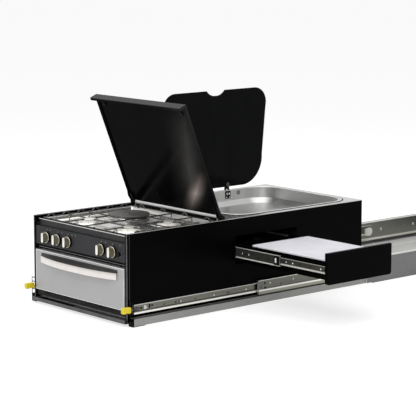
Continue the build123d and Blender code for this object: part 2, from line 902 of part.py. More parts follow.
# Cooker casing: an open-topped box with the oven's opening and a window behind the controls.
casing_half_width = panel_inside - casing_gap
casing_front = front + casing_setback
casing_back = casing_front + casing_depth
with BuildPart() as cooker_casing:
    bar(
        Plane.XY.offset(tray_top),
        (-casing_half_width, casing_half_width),
        (casing_front, casing_back),
        casing_top - tray_top,
    )
    bar(
        Plane.XY.offset(tray_top + casing_wall),
        (-casing_half_width + casing_wall, casing_half_width - casing_wall),
        (casing_front + casing_wall, casing_back - casing_wall),
        casing_top,
        Mode.SUBTRACT,
    )
    bar(
        Plane.XY.offset(tray_top - overrun),
        (-bar_half_width - run_gap, bar_half_width + run_gap),
        (casing_front - overrun, front + bar_depth + run_gap),
        bar_top + run_gap - tray_top + overrun,
        Mode.SUBTRACT,
    )
    bar(
        section(casing_front - overrun),
        (-oven_half_width, oven_half_width),
        (oven_floor, oven_roof),
        -casing_wall - 2 * overrun,
        Mode.SUBTRACT,
    )
    bar(
        section(casing_front - overrun),
        (-controls_half_width + panel_fold, controls_half_width - panel_fold),
        (knob_level - valve_window_height / 2, knob_level + valve_window_height / 2),
        -casing_wall - 2 * overrun,
        Mode.SUBTRACT,
    )
    pin_y = front - door_proud + door_pin_inset
    pin_z = door_foot + door_pin_rise
    ear_in = door_half_width + door_ear_gap
    for side in (-1, 1):
        ear_plane = Plane.YZ.offset(side * ear_in)
        with BuildSketch(ear_plane) as ear_outline:
            with Locations((pin_y, pin_z)):
                Circle(door_ear_radius)
            with Locations(((pin_y + casing_front) / 2, pin_z)):
                Rectangle(casing_front - pin_y, 2 * door_ear_radius)
            with Locations((pin_y, pin_z)):
                Circle(door_pin_radius + fit_gap, mode=Mode.SUBTRACT)
        extrude(ear_outline.sketch, amount=side * door_ear_wall)
keep(cooker_casing, "cooker_casing")

# Oven liner: a box open to the front, with a runner along each side for the shelf.
liner_front = casing_front + casing_wall
with BuildPart() as oven_liner:
    bar(
        section(liner_front),
        (-oven_half_width - oven_wall, oven_half_width + oven_wall),
        (oven_floor - oven_wall, oven_roof + oven_wall),
        -oven_depth,
    )
    bar(
        section(liner_front),
        (-oven_half_width, oven_half_width),
        (oven_floor, oven_roof),
        -oven_depth + oven_wall,
        Mode.SUBTRACT,
    )
    for side in (-1, 1):
        runner_span = sorted((side * oven_half_width, side * (oven_half_width - runner_width)))
        runner_band = (runner_level - runner_height, runner_level)
        bar(section(liner_front), runner_span, runner_band, -oven_depth + oven_wall)
keep(oven_liner, "oven_liner")

# Oven shelf: a rack of bars inside a rim, lying on the runners.
shelf_half_width = oven_half_width - shelf_clearance
shelf_length = oven_depth - 2 * oven_wall - 2 * shelf_clearance - 2 * oven_burner_radius
shelf_front = liner_front + shelf_clearance
with BuildPart() as oven_shelf:
    bar(
        Plane.XY.offset(runner_level),
        (-shelf_half_width, shelf_half_width),
        (shelf_front, shelf_front + shelf_length),
        shelf_wall,
    )
    rack_width = 2 * (shelf_half_width - runner_width)
    rack_count = int(rack_width / shelf_bar_pitch)
    with BuildSketch(Plane.XY.offset(runner_level)) as rack_gaps:
        with Locations((0, shelf_front + shelf_length / 2)):
            with GridLocations(rack_width / rack_count, 0, rack_count, 1):
                Rectangle(shelf_bar_gap, shelf_length - 2 * runner_width)
    extrude(rack_gaps.sketch, amount=shelf_wall, mode=Mode.SUBTRACT)
keep(oven_shelf, "oven_shelf")

# Oven burner: a tube across the back of the liner's floor.
burner_tube_y = liner_front + oven_depth - oven_wall - oven_burner_radius - shelf_clearance
with BuildPart() as oven_burner:
    with BuildSketch(Plane.YZ.offset(-oven_half_width)) as burner_tube:
        with Locations((burner_tube_y, oven_burner_level)):
            Circle(oven_burner_radius)
            Circle(oven_burner_radius - oven_wall, mode=Mode.SUBTRACT)
    extrude(burner_tube.sketch, amount=2 * oven_half_width)
keep(oven_burner, "oven_burner")

# Hob frame: the black surround with its front fascia.
frame_top = casing_top + hob_frame_height
frame_front = front + fascia_setback
frame_back = worktop_front - run_gap
tray_half_width = casing_half_width - hob_frame_side
tray_front = frame_front + hob_frame_front
tray_back = frame_back - hob_frame_rear
with BuildPart() as hob_frame:
    bar(
        Plane.XY.offset(casing_top),
        (-casing_half_width, casing_half_width),
        (casing_front, frame_back),
        hob_frame_height,
    )
    bar(
        section(frame_front),
        (-controls_half_width, controls_half_width),
        (fascia_foot, frame_top),
        -fascia_wall,
    )
    bar(
        section(frame_front),
        (-controls_half_width, controls_half_width),
        (frame_top - fascia_wall, frame_top),
        frame_front - casing_front,
    )
    bar(
        Plane.XY.offset(casing_top - overrun),
        (-tray_half_width, tray_half_width),
        (tray_front, tray_back),
        hob_frame_height + 2 * overrun,
        Mode.SUBTRACT,
    )
    window_edges = hob_frame.edges().filter_by(Axis.X).group_by(Axis.Z)[-1]
    chamfer(window_edges.sort_by(Axis.Y)[1:3], fascia_wall)
keep(hob_frame, "hob_frame")

# Hob tray: a pressed pan with flared sides, hung in the frame.
with BuildPart() as tray_void:
    with BuildSketch(Plane.XY.offset(hob_tray_floor + hob_tray_wall)) as tray_floor_outline:
        with Locations((0, (tray_front + tray_back) / 2)):
            RectangleRounded(
                2 * (tray_half_width - hob_tray_flare),
                tray_back - tray_front - 2 * hob_tray_flare,
                hob_tray_flare,
            )
    with BuildSketch(Plane.XY.offset(frame_top + hob_tray_wall)) as tray_mouth_outline:
        with Locations((0, (tray_front + tray_back) / 2)):
            RectangleRounded(
                2 * (tray_half_width - 2 * hob_tray_wall),
                tray_back - tray_front - 4 * hob_tray_wall,
                hob_tray_flare,
            )
    loft([tray_floor_outline.sketch, tray_mouth_outline.sketch])
with BuildPart() as hob_tray:
    bar(
        Plane.XY.offset(hob_tray_floor),
        (-tray_half_width, tray_half_width),
        (tray_front, tray_back),
        frame_top - hob_tray_floor,
    )
    add(tray_void.part, mode=Mode.SUBTRACT)
keep(hob_tray, "hob_tray")

# Burners: three gas rings with their caps, and an electric hotplate at the rear left.
tray_level = hob_tray_floor + hob_tray_wall
column_reach = tray_half_width - burner_inset
column_places = (burner_shift - column_reach, burner_shift + column_reach)
row_places = (front + burner_first, front + burner_first + burner_spacing)
gas_places = [
    (column_places[0], row_places[0]),
    (column_places[1], row_places[0]),
    (column_places[1], row_places[1]),
]
hotplate_place = (column_places[0], row_places[1])
ring_top = tray_level + burner_ring_height
head_top = ring_top + burner_head_height
with BuildPart() as gas_burners:
    with BuildSketch(Plane.XY.offset(tray_level)) as ring_outline:
        with Locations(*gas_places):
            Circle(burner_ring_radius)
    extrude(ring_outline.sketch, amount=burner_ring_height, taper=45)
    with BuildSketch(Plane.XY.offset(ring_top)) as head_outline:
        with Locations(*gas_places):
            Circle(burner_head_radius)
    extrude(head_outline.sketch, amount=burner_head_height)
    with BuildSketch(Plane.XY.offset(head_top - burner_head_height / 2)) as flame_slots:
        with Locations(*gas_places):
            with PolarLocations(burner_head_radius, burner_slot_count):
                Rectangle(burner_cap_height, burner_slot_width)
    extrude(flame_slots.sketch, amount=burner_head_height, mode=Mode.SUBTRACT)
    with BuildSketch(Plane.XY.offset(head_top)) as cap_circles:
        with Locations(*gas_places):
            Circle(burner_cap_radius)
    extrude(cap_circles.sketch, amount=burner_cap_height)
    chamfer(gas_burners.edges().group_by(Axis.Z)[-1], burner_cap_height / 2)
keep(gas_burners, "gas_burners")

with BuildPart() as hotplate:
    drum(Plane.XY.offset(tray_level), hotplate_place, hotplate_radius - hotplate_neck_inset, hotplate_neck)
    drum(Plane.XY.offset(tray_level + hotplate_neck), hotplate_place, hotplate_radius, hotplate_height)
    chamfer(hotplate.edges().group_by(Axis.Z)[-1], hotplate_dish_depth)
    hotplate_top = tray_level + hotplate_neck + hotplate_height
    drum(
        Plane.XY.offset(hotplate_top),
        hotplate_place,
        hotplate_dish_radius,
        -hotplate_dish_depth,
        Mode.SUBTRACT,
    )
keep(hotplate, "hotplate")

# Pan support: one wire frame on the hob frame, with cross bars, fingers over the burners and a
# raised wave of wire along its sides and back.
wire_level = frame_top + wire_radius
support_half_width = tray_half_width + support_margin
support_front = tray_front - support_margin
support_back = tray_back + support_margin


def fiddle(start, end, count):
    """The points of a wire that rises in a row of teeth between two points at the wire level."""
    span = (Vector(*end) - Vector(*start)) / count
    step = span.normalized() * fiddle_run
    up = Vector(0, 0, fiddle_rise)
    points = []
    for index in range(count):
        crest = Vector(*start) + span * (index + 1 / 2)
        points += [crest - step, crest + up, crest + step]
    return [Vector(*start)] + points + [Vector(*end)]


def wire(points, mode=Mode.ADD):
    """A wire along straight runs, flat underneath."""
    with BuildLine() as path:
        Polyline(*points)
    start = path.line @ 0
    along = path.line % 0
    with BuildSketch(Plane(origin=start, z_dir=along)) as wire_section:
        RegularPolygon(wire_radius, wire_sides, major_radius=False, rotation=180 / wire_sides)
    sweep(wire_section.sketch, path=path.line, transition=Transition.RIGHT, mode=mode)


corner_left_front = (-support_half_width, support_front, wire_level)
corner_right_front = (support_half_width, support_front, wire_level)
corner_left_back = (-support_half_width, support_back, wire_level)
corner_right_back = (support_half_width, support_back, wire_level)
bridge_y = (row_places[0] + row_places[1]) / 2
with BuildPart() as pan_support:
    wire([corner_left_front, corner_right_front])
    wire(fiddle(corner_left_front, corner_left_back, fiddle_side_count))
    wire(fiddle(corner_left_back, corner_right_back, fiddle_rear_count))
    wire(fiddle(corner_right_front, corner_right_back, fiddle_side_count))
    wire([(-support_half_width, bridge_y, wire_level), (support_half_width, bridge_y, wire_level)])
    wire([(burner_shift, support_front, wire_level), (burner_shift, support_back, wire_level)])
    for place in gas_places:
        for reach_x, reach_y in ((1, 0), (-1, 0), (0, 1), (0, -1)):
            inner_point = (place[0] + reach_x * finger_inner, place[1] + reach_y * finger_inner, wire_level)
            edge_x = support_half_width if place[0] > burner_shift else -support_half_width
            far_x = edge_x if reach_x * edge_x > 0 else burner_shift
            edge_y = support_back if place[1] > bridge_y else support_front
            far_y = edge_y if reach_y * (place[1] - bridge_y) > 0 else bridge_y
            outer_point = (far_x if reach_x else place[0], far_y if reach_y else place[1], wire_level)
            wire([inner_point, outer_point])
keep(pan_support, "pan_support")

# Gas manifold: a pipe across the casing with a valve behind each knob.
valve_front = casing_front + casing_wall + run_gap
manifold_y = valve_front + valve_depth + manifold_radius / 2
manifold_half_length = casing_half_width - casing_wall
shaft_end = front + controls_setback - knob_gap + shaft_length
with BuildPart() as gas_manifold:
    with BuildSketch(Plane.YZ.offset(-manifold_half_length)) as manifold_section:
        with Locations((manifold_y, knob_level)):
            Circle(manifold_radius)
    extrude(manifold_section.sketch, amount=2 * manifold_half_length)
    with BuildSketch(section(valve_front)) as valve_faces:
        with Locations(*[(place, knob_level) for place in knob_places]):
            Rectangle(valve_width, valve_height)
    extrude(valve_faces.sketch, amount=-valve_depth)
    with BuildSketch(section(valve_front)) as shaft_bores:
        with Locations(*[(place, knob_level) for place in knob_places]):
            Circle(shaft_radius + fit_gap)
    extrude(shaft_bores.sketch, amount=valve_front - shaft_end - run_gap, mode=Mode.SUBTRACT)
keep(gas_manifold, "gas_manifold")

# Control panel: folded sheet with the knobs' holes, and the dark trim rail below it.
controls_face = front + controls_setback
controls_path = [
    (frame_front, controls_top),
    (controls_face, controls_top),
    (controls_face, controls_foot),
    (casing_front, controls_foot),
]
with BuildPart() as control_panel:
    fold(
        controls_path,
        controls_wall,
        Plane.YZ.offset(-controls_half_width),
        2 * controls_half_width,
        Side.LEFT,
    )
    with BuildSketch(section(controls_face - overrun)) as control_holes:
        with Locations(*[(place, knob_level) for place in knob_places]):
            Circle(shaft_radius + run_gap)
        with Locations((igniter_place, igniter_level)):
            Circle(igniter_shaft_radius + fit_gap)
    extrude(control_holes.sketch, amount=-controls_wall - 2 * overrun, mode=Mode.SUBTRACT)
    trim_path = [
        (casing_front, trim_foot),
        (front + trim_setback, trim_foot),
        (front + trim_setback, (trim_foot + trim_top) / 2 - controls_wall),
        (front + trim_setback + controls_wall, (trim_foot + trim_top) / 2),
        (front + trim_setback, (trim_foot + trim_top) / 2 + controls_wall),
        (front + trim_setback, trim_top),
        (casing_front, trim_top),
    ]
    with BuildSketch(Plane.YZ.offset(-controls_half_width)) as trim_profile:
        with BuildLine():
            Polyline(*trim_path, close=True)
        make_face()
    extrude(trim_profile.sketch, amount=2 * controls_half_width)
keep(control_panel, "control_panel")

# Knobs: a deep skirt, a round cap and a grip bar, each on the shaft that enters its valve.
knob_back = controls_face - knob_gap
knob_body_back = knob_back - knob_skirt_height
knob_grip_back = knob_body_back - knob_body_height
for number, place in enumerate(knob_places, start=1):
    with BuildPart() as knob:
        drum(section(knob_back), (place, knob_level), knob_skirt_radius, knob_skirt_height)
        drum(section(knob_body_back), (place, knob_level), knob_body_radius, knob_body_height)
        with BuildSketch(section(knob_grip_back)) as knob_grip:
            with Locations((place, knob_level)):
                SlotOverall(grip_length, grip_width, rotation=90)
        extrude(knob_grip.sketch, amount=grip_height)
        drum(section(knob_back), (place, knob_level), shaft_radius, -shaft_length)
    keep(knob, f"knob_{number}")

# Igniter: a push button on a short shaft.
with BuildPart() as igniter_button:
    igniter_centre = (igniter_place, igniter_level)
    drum(section(controls_face - igniter_height / 2), igniter_centre, igniter_radius, igniter_height)
    chamfer(igniter_button.edges().group_by(Axis.Y)[0], igniter_height / 4)
    drum(
        section(controls_face - igniter_height / 2),
        igniter_centre,
        igniter_shaft_radius,
        -igniter_shaft_length,
    )
keep(igniter_button, "igniter_button")

# Oven door: a shallow pan on two pins near its foot.
door_face = front - door_proud
door_back = door_face + door_depth
with BuildPart() as oven_door:
    bar(section(door_face), (-door_half_width, door_half_width), (door_foot, door_top), -door_depth)
    bar(
        section(door_face + door_skin),
        (-door_half_width + door_skin, door_half_width - door_skin),
        (pin_z + door_ear_radius + door_skin, door_top - door_skin),
        -door_depth,
        Mode.SUBTRACT,
    )
    rear_foot_edge = oven_door.edges().filter_by(Axis.X).group_by(Axis.Z)[0].sort_by(Axis.Y)[-1]
    chamfer(rear_foot_edge, door_relief * 2)
    front_edges = oven_door.faces().sort_by(Axis.Y)[0].edges()
    fillet(front_edges, door_relief)
    for side in (-1, 1):
        drum(
            Plane.YZ.offset(side * door_half_width),
            (pin_y, pin_z),
            door_pin_radius,
            side * (door_ear_gap + door_ear_wall),
        )
keep(oven_door, "oven_door")

# Door handle: a flat strip bowed out from the door, with a post at each end and a web that
# closes the gap from above. The fingers reach in from below.
with BuildPart() as door_handle:
    with BuildSketch(Plane.XY.offset(handle_level - handle_height / 2)) as handle_plan:
        end_y = door_face - handle_post_depth
        crown_y = door_face - handle_bow
        with BuildLine():
            outer_arc = ThreePointArc((-handle_half_width, end_y), (0, crown_y), (handle_half_width, end_y))
            Line(outer_arc @ 1, (handle_half_width, door_face))
            Line((handle_half_width, door_face), (handle_half_width - handle_post, door_face))
            Line(
                (handle_half_width - handle_post, door_face),
                (handle_half_width - handle_post, end_y + handle_wall),
            )
            ThreePointArc(
                (handle_half_width - handle_post, end_y + handle_wall),
                (0, crown_y + handle_wall),
                (-handle_half_width + handle_post, end_y + handle_wall),
            )
            Line(
                (-handle_half_width + handle_post, end_y + handle_wall),
                (-handle_half_width + handle_post, door_face),
            )
            Line((-handle_half_width + handle_post, door_face), (-handle_half_width, door_face))
            Line((-handle_half_width, door_face), outer_arc @ 0)
        make_face()
    extrude(handle_plan.sketch, amount=handle_height)
    web_half_width = handle_half_width - handle_web_inset
    web_foot = handle_level + handle_height / 2 + handle_web_rise - handle_web_wall
    with BuildSketch(Plane.XY.offset(web_foot)) as web_plan:
        with BuildLine():
            web_arc = ThreePointArc(
                (-web_half_width, end_y + handle_web_inset),
                (0, crown_y + handle_web_inset),
                (web_half_width, end_y + handle_web_inset),
            )
            Polyline(web_arc @ 1, (web_half_width, door_face), (-web_half_width, door_face), web_arc @ 0)
        make_face()
    extrude(web_plan.sketch, amount=handle_web_wall)
keep(door_handle, "door_handle")

# Hob lid. Its own plane has x from the hinge axis to the lip and y towards the underside.
lid_axis_y = front + lid_axis_setback
lid_along = (0, -cos(radians(lid_angle)), sin(radians(lid_angle)))


def lid_plane(x):
    """The section plane of the hob lid at x."""
    return Plane(origin=(x, lid_axis_y, lid_axis_level), x_dir=lid_along, z_dir=(1, 0, 0))


lid_path = [
    (lid_start, lid_drop),
    (lid_length, lid_drop),
    (lid_length, lid_drop + lid_lip),
    (lid_length - lid_hem, lid_drop + lid_lip),
]
with BuildPart() as hob_lid:
    fold(lid_path, lid_wall, lid_plane(-lid_half_width), 2 * lid_half_width, Side.LEFT)
    for side in (-1, 1):
        edge_plane = lid_plane(side * lid_half_width)
        bar(
            edge_plane,
            (lid_flange_start, lid_length),
            (lid_drop, lid_drop + lid_flange),
            -side * lid_wall,
        )
        bar(
            edge_plane,
            (lid_length - lid_hem, lid_length),
            (lid_drop, lid_drop + lid_lip),
            -side * lid_wall,
        )
keep(hob_lid, "hob_lid")

# Knuckles under the lid's rear edge, bored for the hinge pins.
knuckle_in = lid_ear_place + lid_ear_wall + run_gap
with BuildPart() as lid_knuckles:
    for side in (-1, 1):
        knuckle_start = knuckle_in if side > 0 else -knuckle_in - lid_knuckle_width
        with BuildSketch(lid_plane(knuckle_start)) as knuckle_outline:
            Circle(lid_knuckle_radius)
            with Locations((lid_knuckle_reach / 2, lid_drop + lid_wall + lid_knuckle_depth / 2)):
                Rectangle(lid_knuckle_reach, lid_knuckle_depth)
            Circle(lid_pin_radius + fit_gap, mode=Mode.SUBTRACT)
        extrude(knuckle_outline.sketch, amount=lid_knuckle_width)
keep(lid_knuckles, "lid_knuckles")

# Hinge brackets on the hob frame, joined by a rod, with the pins that the knuckles turn on.
with BuildPart() as lid_hinge_brackets:
    for side in (-1, 1):
        ear_start = lid_ear_place if side > 0 else -lid_ear_place - lid_ear_wall
        with BuildSketch(Plane.YZ.offset(ear_start)) as bracket_outline:
            with Locations((lid_axis_y, (frame_top + lid_axis_level) / 2)):
                Rectangle(2 * lid_knuckle_radius, lid_axis_level - frame_top)
            with Locations((lid_axis_y, lid_axis_level)):
                Circle(lid_knuckle_radius)
        extrude(bracket_outline.sketch, amount=lid_ear_wall)
        bar(
            Plane.XY.offset(frame_top),
            sorted((side * lid_ear_place, side * (lid_ear_place - lid_ear_base))),
            (lid_axis_y - lid_knuckle_radius, lid_axis_y + lid_knuckle_radius),
            lid_ear_plate,
        )
        drum(
            Plane.YZ.offset(side * lid_ear_place),
            (lid_axis_y, lid_axis_level),
            lid_pin_radius,
            side * (lid_ear_wall + run_gap + lid_knuckle_width + run_gap),
        )
    drum(Plane.YZ.offset(-lid_ear_place), (lid_axis_y, lid_axis_level), lid_rod_radius, 2 * lid_ear_place)
keep(lid_hinge_brackets, "lid_hinge_brackets")

# Glass lid: a pane with rounded corners and a notch in its free edge, standing on its hinges.
glass_axis_x = -half_width + glass_axis_inset
glass_foot = glass_axis_level + glass_rise
glass_head = glass_foot + glass_height
glass_y = front + glass_centre
glass_plane = Plane(origin=(glass_axis_x + glass_face, glass_y, 0), x_dir=(0, 1, 0), z_dir=(1, 0, 0))
foot_share = 0.56
flank_share = 0.93
flank_rise_share = 0.3
widest_rise_share = 0.8
shoulder_share = 0.78
corner_share = 0.945
with BuildPart() as glass_lid:
    with BuildSketch(glass_plane) as glass_outline:
        with BuildLine() as half_outline:
            notch = ThreePointArc(
                (0, glass_head - glass_notch_depth),
                (glass_notch_half_width * 2 / 3, glass_head - glass_notch_depth * 2 / 3),
                (glass_notch_half_width, glass_head),
            )
            shoulder = Line(notch @ 1, (glass_half_width * shoulder_share, glass_head))
            corner = TangentArc(
                shoulder @ 1,
                (glass_half_width, glass_foot + glass_height * widest_rise_share),
                tangent=(1, 0),
            )
            flank = Line(
                corner @ 1,
                (glass_half_width * flank_share, glass_foot + glass_height * flank_rise_share),
            )
            heel = ThreePointArc(
                flank @ 1,
                (
                    glass_half_width * (foot_share + flank_share) / 2 * (1 + (1 - corner_share)),
                    glass_foot + glass_height * flank_rise_share * (1 - shoulder_share),
                ),
                (glass_half_width * foot_share, glass_foot),
            )
            Line(heel @ 1, (0, glass_foot))
            mirror(about=Plane.YZ)
        make_face()
    extrude(glass_outline.sketch, amount=-glass_wall)
keep(glass_lid, "glass_lid")

# Clamps on the pane: a jaw each side of the glass, joined round the hinge knuckle.
hinge_places = (glass_y - glass_hinge_spacing / 2, glass_y + glass_hinge_spacing / 2)
jaw_out = glass_axis_x + glass_face - glass_wall
jaw_in = glass_axis_x + glass_face
with BuildPart() as glass_clamps:
    for place in hinge_places:
        start = place - glass_knuckle_width / 2
        jaw_span = (jaw_out - clamp_wall, jaw_in + clamp_wall)
        with BuildSketch(section(start)) as knuckle_profile:
            with Locations((glass_axis_x, glass_axis_level)):
                Circle(glass_knuckle_radius)
            with Locations(((jaw_span[0] + jaw_span[1]) / 2, (glass_axis_level + clamp_level) / 2)):
                Rectangle(jaw_span[1] - jaw_span[0], clamp_level - glass_axis_level)
            with Locations(((jaw_out + jaw_in) / 2, (glass_foot + clamp_level + overrun) / 2)):
                Rectangle(glass_wall, clamp_level + overrun - glass_foot, mode=Mode.SUBTRACT)
            with Locations((glass_axis_x, glass_axis_level)):
                Circle(glass_pin_radius + fit_gap, mode=Mode.SUBTRACT)
        extrude(knuckle_profile.sketch, amount=-glass_knuckle_width)
        drum(Plane.YZ.offset(jaw_in), (place, clamp_level), clamp_radius, clamp_wall)
        drum(Plane.YZ.offset(jaw_out), (place, clamp_level), clamp_radius, -clamp_wall)
keep(glass_clamps, "glass_clamps")

# Hinge blocks behind the bowl's rim, with ears and pins, and a leaf down the bowl's wall.
rim_edge = -bowl_half_width - rim_width
with BuildPart() as glass_hinge_blocks:
    for place in hinge_places:
        for side in (-1, 1):
            ear_in_y = place + side * (glass_knuckle_width / 2 + run_gap)
            with BuildSketch(section(ear_in_y)) as block_profile:
                with BuildLine():
                    Polyline(
                        (glass_axis_x - glass_knuckle_radius, worktop_top),
                        (glass_axis_x - glass_knuckle_radius, glass_axis_level),
                        (glass_axis_x + glass_knuckle_radius, glass_axis_level),
                        (glass_axis_x + glass_knuckle_radius, worktop_top + rim_height + run_gap),
                        (rim_edge - run_gap, worktop_top + rim_height + run_gap),
                        (rim_edge - run_gap, worktop_top),
                        close=True,
                    )
                make_face()
                with Locations((glass_axis_x, glass_axis_level)):
                    Circle(glass_knuckle_radius)
            extrude(block_profile.sketch, amount=-side * glass_ear_wall)
        drum(
            section(place - glass_knuckle_width / 2 - run_gap),
            (glass_axis_x, glass_axis_level),
            glass_pin_radius,
            -glass_knuckle_width - 2 * run_gap,
        )
        leaf_top = worktop_top - leaf_drop
        bar(
            Plane.YZ.offset(-bowl_half_width),
            (place - leaf_half_width, place + leaf_half_width),
            (leaf_top - leaf_height, leaf_top),
            leaf_wall,
        )
keep(glass_hinge_blocks, "glass_hinge_blocks")

# Drawer slides. Each has an outer member on its bulkhead, a middle member with its web set
# between two flanges, and an inner member on the drawer.
# The near slide is drawn and the far one is its mirror image about the middle of the bay.
bay_mirror = Plane.XZ.offset(-(front + bay_start + bay_length / 2))
drawer_slide_front = half_width - drawer_slide_reveal
drawer_outer_start = drawer_slide_front - drawer_travel
drawer_middle_start = drawer_outer_start + drawer_travel / 2
drawer_inner_start = drawer_outer_start + drawer_travel
outer_depth = drawer_slide_width * outer_depth_share
middle_depth = drawer_slide_width * middle_depth_share
inner_depth = drawer_slide_width * inner_depth_share
middle_near = bay_front + opening_margin + drawer_slide_play
middle_web_back = drawer_slide_recess + drawer_slide_wall
middle_hollow = drawer_middle_height - 2 * drawer_slide_wall
inner_far = bay_front + drawer_slide_width


def slide_channel(start, near, depth, height, open_far):
    """A drawer slide's member: a channel along X, open to the far or to the near side."""
    low = drawer_slide_level - height / 2
    high = drawer_slide_level + height / 2
    if open_far:
        path = [(near + depth, high), (near, high), (near, low), (near + depth, low)]
        fold(path, drawer_slide_wall, Plane.YZ.offset(start), drawer_travel, Side.LEFT)
    else:
        path = [(near, high), (near + depth, high), (near + depth, low), (near, low)]
        fold(path, drawer_slide_wall, Plane.YZ.offset(start), drawer_travel, Side.RIGHT)


def ball_strip(start, y_range, from_level, to_level):
    """A pair of ball strips above and below the slide's axis."""
    span = (to_level + from_level) / 2
    with BuildSketch(Plane.YZ.offset(start)) as strip_outline:
        with Locations((sum(y_range) / 2, drawer_slide_level)):
            with GridLocations(0, 2 * span, 1, 2):
                Rectangle(y_range[1] - y_range[0], to_level - from_level)
    extrude(strip_outline.sketch, amount=drawer_travel / 2 - 2 * overrun)


with BuildPart() as drawer_outer_slides:
    slide_channel(drawer_outer_start, bay_front, outer_depth, drawer_outer_height, True)
    mirror(about=bay_mirror)
with BuildPart() as drawer_middle_slides:
    with BuildSketch(Plane.YZ.offset(drawer_middle_start)) as middle_member:
        with Locations((middle_near + middle_depth / 2, drawer_slide_level)):
            Rectangle(middle_depth, drawer_middle_height)
        with Locations((middle_near + drawer_slide_recess / 2, drawer_slide_level)):
            Rectangle(drawer_slide_recess, middle_hollow, mode=Mode.SUBTRACT)
        with Locations((middle_near + (middle_web_back + middle_depth) / 2, drawer_slide_level)):
            Rectangle(middle_depth - middle_web_back, middle_hollow, mode=Mode.SUBTRACT)
    extrude(middle_member.sketch, amount=drawer_travel)
    ball_strip(
        drawer_middle_start + overrun,
        (middle_near + drawer_slide_wall, bay_front + outer_depth),
        drawer_middle_height / 2,
        drawer_outer_height / 2 - drawer_slide_wall - retainer_play,
    )
    ball_strip(
        drawer_middle_start + drawer_travel / 2 + overrun,
        (inner_far - inner_depth + drawer_slide_wall, middle_near + middle_depth),
        drawer_inner_height / 2 + retainer_play,
        drawer_middle_height / 2 - drawer_slide_wall,
    )
    mirror(about=bay_mirror)
with BuildPart() as drawer_inner_slides:
    slide_channel(drawer_inner_start, inner_far - inner_depth, inner_depth, drawer_inner_height, False)
    mirror(about=bay_mirror)
keep(drawer_outer_slides, "drawer_outer_slides")
keep(drawer_middle_slides, "drawer_middle_slides")
keep(drawer_inner_slides, "drawer_inner_slides")

# Drawer box, front and board, drawn out by the drawer's travel.
box_near = inner_far
box_far = bay_back - drawer_slide_width
front_back_face = half_width + front_gap + drawer_travel
front_face = front_back_face + front_depth
box_end = front_face - front_wall
box_start = drawer_inner_start
with BuildPart() as drawer_box:
    bar(Plane.XY.offset(drawer_foot), (box_start, box_end), (box_near, box_far), drawer_side_top - drawer_foot)
    bar(
        Plane.XY.offset(drawer_foot + drawer_wall),
        (box_start + drawer_wall, box_end - drawer_wall),
        (box_near + drawer_wall, box_far - drawer_wall),
        drawer_side_top - drawer_foot - 2 * drawer_wall,
        Mode.SUBTRACT,
    )
    bar(
        Plane.XY.offset(drawer_side_top - 2 * drawer_wall),
        (box_start + drawer_wall, box_end - drawer_fold),
        (box_near + drawer_fold, box_far - drawer_fold),
        drawer_wall + overrun,
        Mode.SUBTRACT,
    )
keep(drawer_box, "drawer_box")

front_middle = (front + bay_start + bay_length / 2, (front_foot + front_top) / 2)
front_height = front_top - front_foot
with BuildPart() as drawer_front:
    with BuildSketch(Plane.YZ.offset(front_back_face)) as front_outline:
        with Locations(front_middle):
            Rectangle(2 * front_half_width, front_height)
        fillet(front_outline.vertices().group_by(Axis.Y)[0], front_corner)
    extrude(front_outline.sketch, amount=front_depth)
    with BuildSketch(Plane.YZ.offset(front_back_face)) as front_hollow:
        with Locations(front_middle):
            Rectangle(2 * (front_half_width - front_wall), front_height - 2 * front_wall)
        fillet(front_hollow.vertices().group_by(Axis.Y)[0], front_corner - front_wall)
    extrude(front_hollow.sketch, amount=front_depth - front_wall, mode=Mode.SUBTRACT)
keep(drawer_front, "drawer_front")

with BuildPart() as prep_board:
    board_end = front_back_face - board_front_gap
    with BuildSketch(Plane.XY.offset(drawer_side_top)) as board_outline:
        with Locations((board_end - board_length / 2, front + bay_start + bay_length / 2)):
            RectangleRounded(board_length, box_far - box_near - 2 * board_inset, board_corner)
    extrude(board_outline.sketch, amount=board_wall)
    chamfer(prep_board.edges().group_by(Axis.Z)[-1], board_wall / 6)
keep(prep_board, "prep_board")
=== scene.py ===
import math

import bpy
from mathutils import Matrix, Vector


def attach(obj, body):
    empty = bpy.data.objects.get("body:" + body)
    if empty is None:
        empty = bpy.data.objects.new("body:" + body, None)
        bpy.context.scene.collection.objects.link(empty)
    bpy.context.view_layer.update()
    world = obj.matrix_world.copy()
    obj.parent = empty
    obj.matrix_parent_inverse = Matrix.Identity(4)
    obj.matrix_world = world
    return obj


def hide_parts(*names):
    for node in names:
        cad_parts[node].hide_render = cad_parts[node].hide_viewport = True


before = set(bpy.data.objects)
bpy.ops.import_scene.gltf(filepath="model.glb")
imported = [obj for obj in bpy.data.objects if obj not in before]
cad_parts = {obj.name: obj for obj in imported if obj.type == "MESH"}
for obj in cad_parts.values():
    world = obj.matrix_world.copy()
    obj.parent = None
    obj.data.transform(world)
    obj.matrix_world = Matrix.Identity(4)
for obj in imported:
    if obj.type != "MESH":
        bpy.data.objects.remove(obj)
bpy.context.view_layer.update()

# Places that the pieces here share with the solids, in metres
FRONT = -1.727
BACK = FRONT + 1.126
HALF_WIDTH = 0.265
KNOB_LEVEL = 0.2455
KNOB_PLACES = (-0.187, -0.124, -0.061, 0.127, 0.190)
IGNITER_PLACE = (0.225, 0.2425)
CONTROLS_FACE = FRONT + 0.002
DOOR_FACE = FRONT - 0.002
SLIDE_AXIS = 0.0555
FRAME_TOP = 0.303
FRAME_HALF_WIDTH = 0.2515
TRAY_LEVEL = 0.2942
BURNERS = ((-0.120, FRONT + 0.140), (0.104, FRONT + 0.140), (0.104, FRONT + 0.318))
HOTPLATE = (-0.120, FRONT + 0.318)
DRAIN = (0.100, FRONT + 0.930)
BOWL_FLOOR = 0.259
BOWL_MIDDLE = (0.0, FRONT + 0.805)
OVERFLOW = (-0.232, FRONT + 0.951, 0.3045)
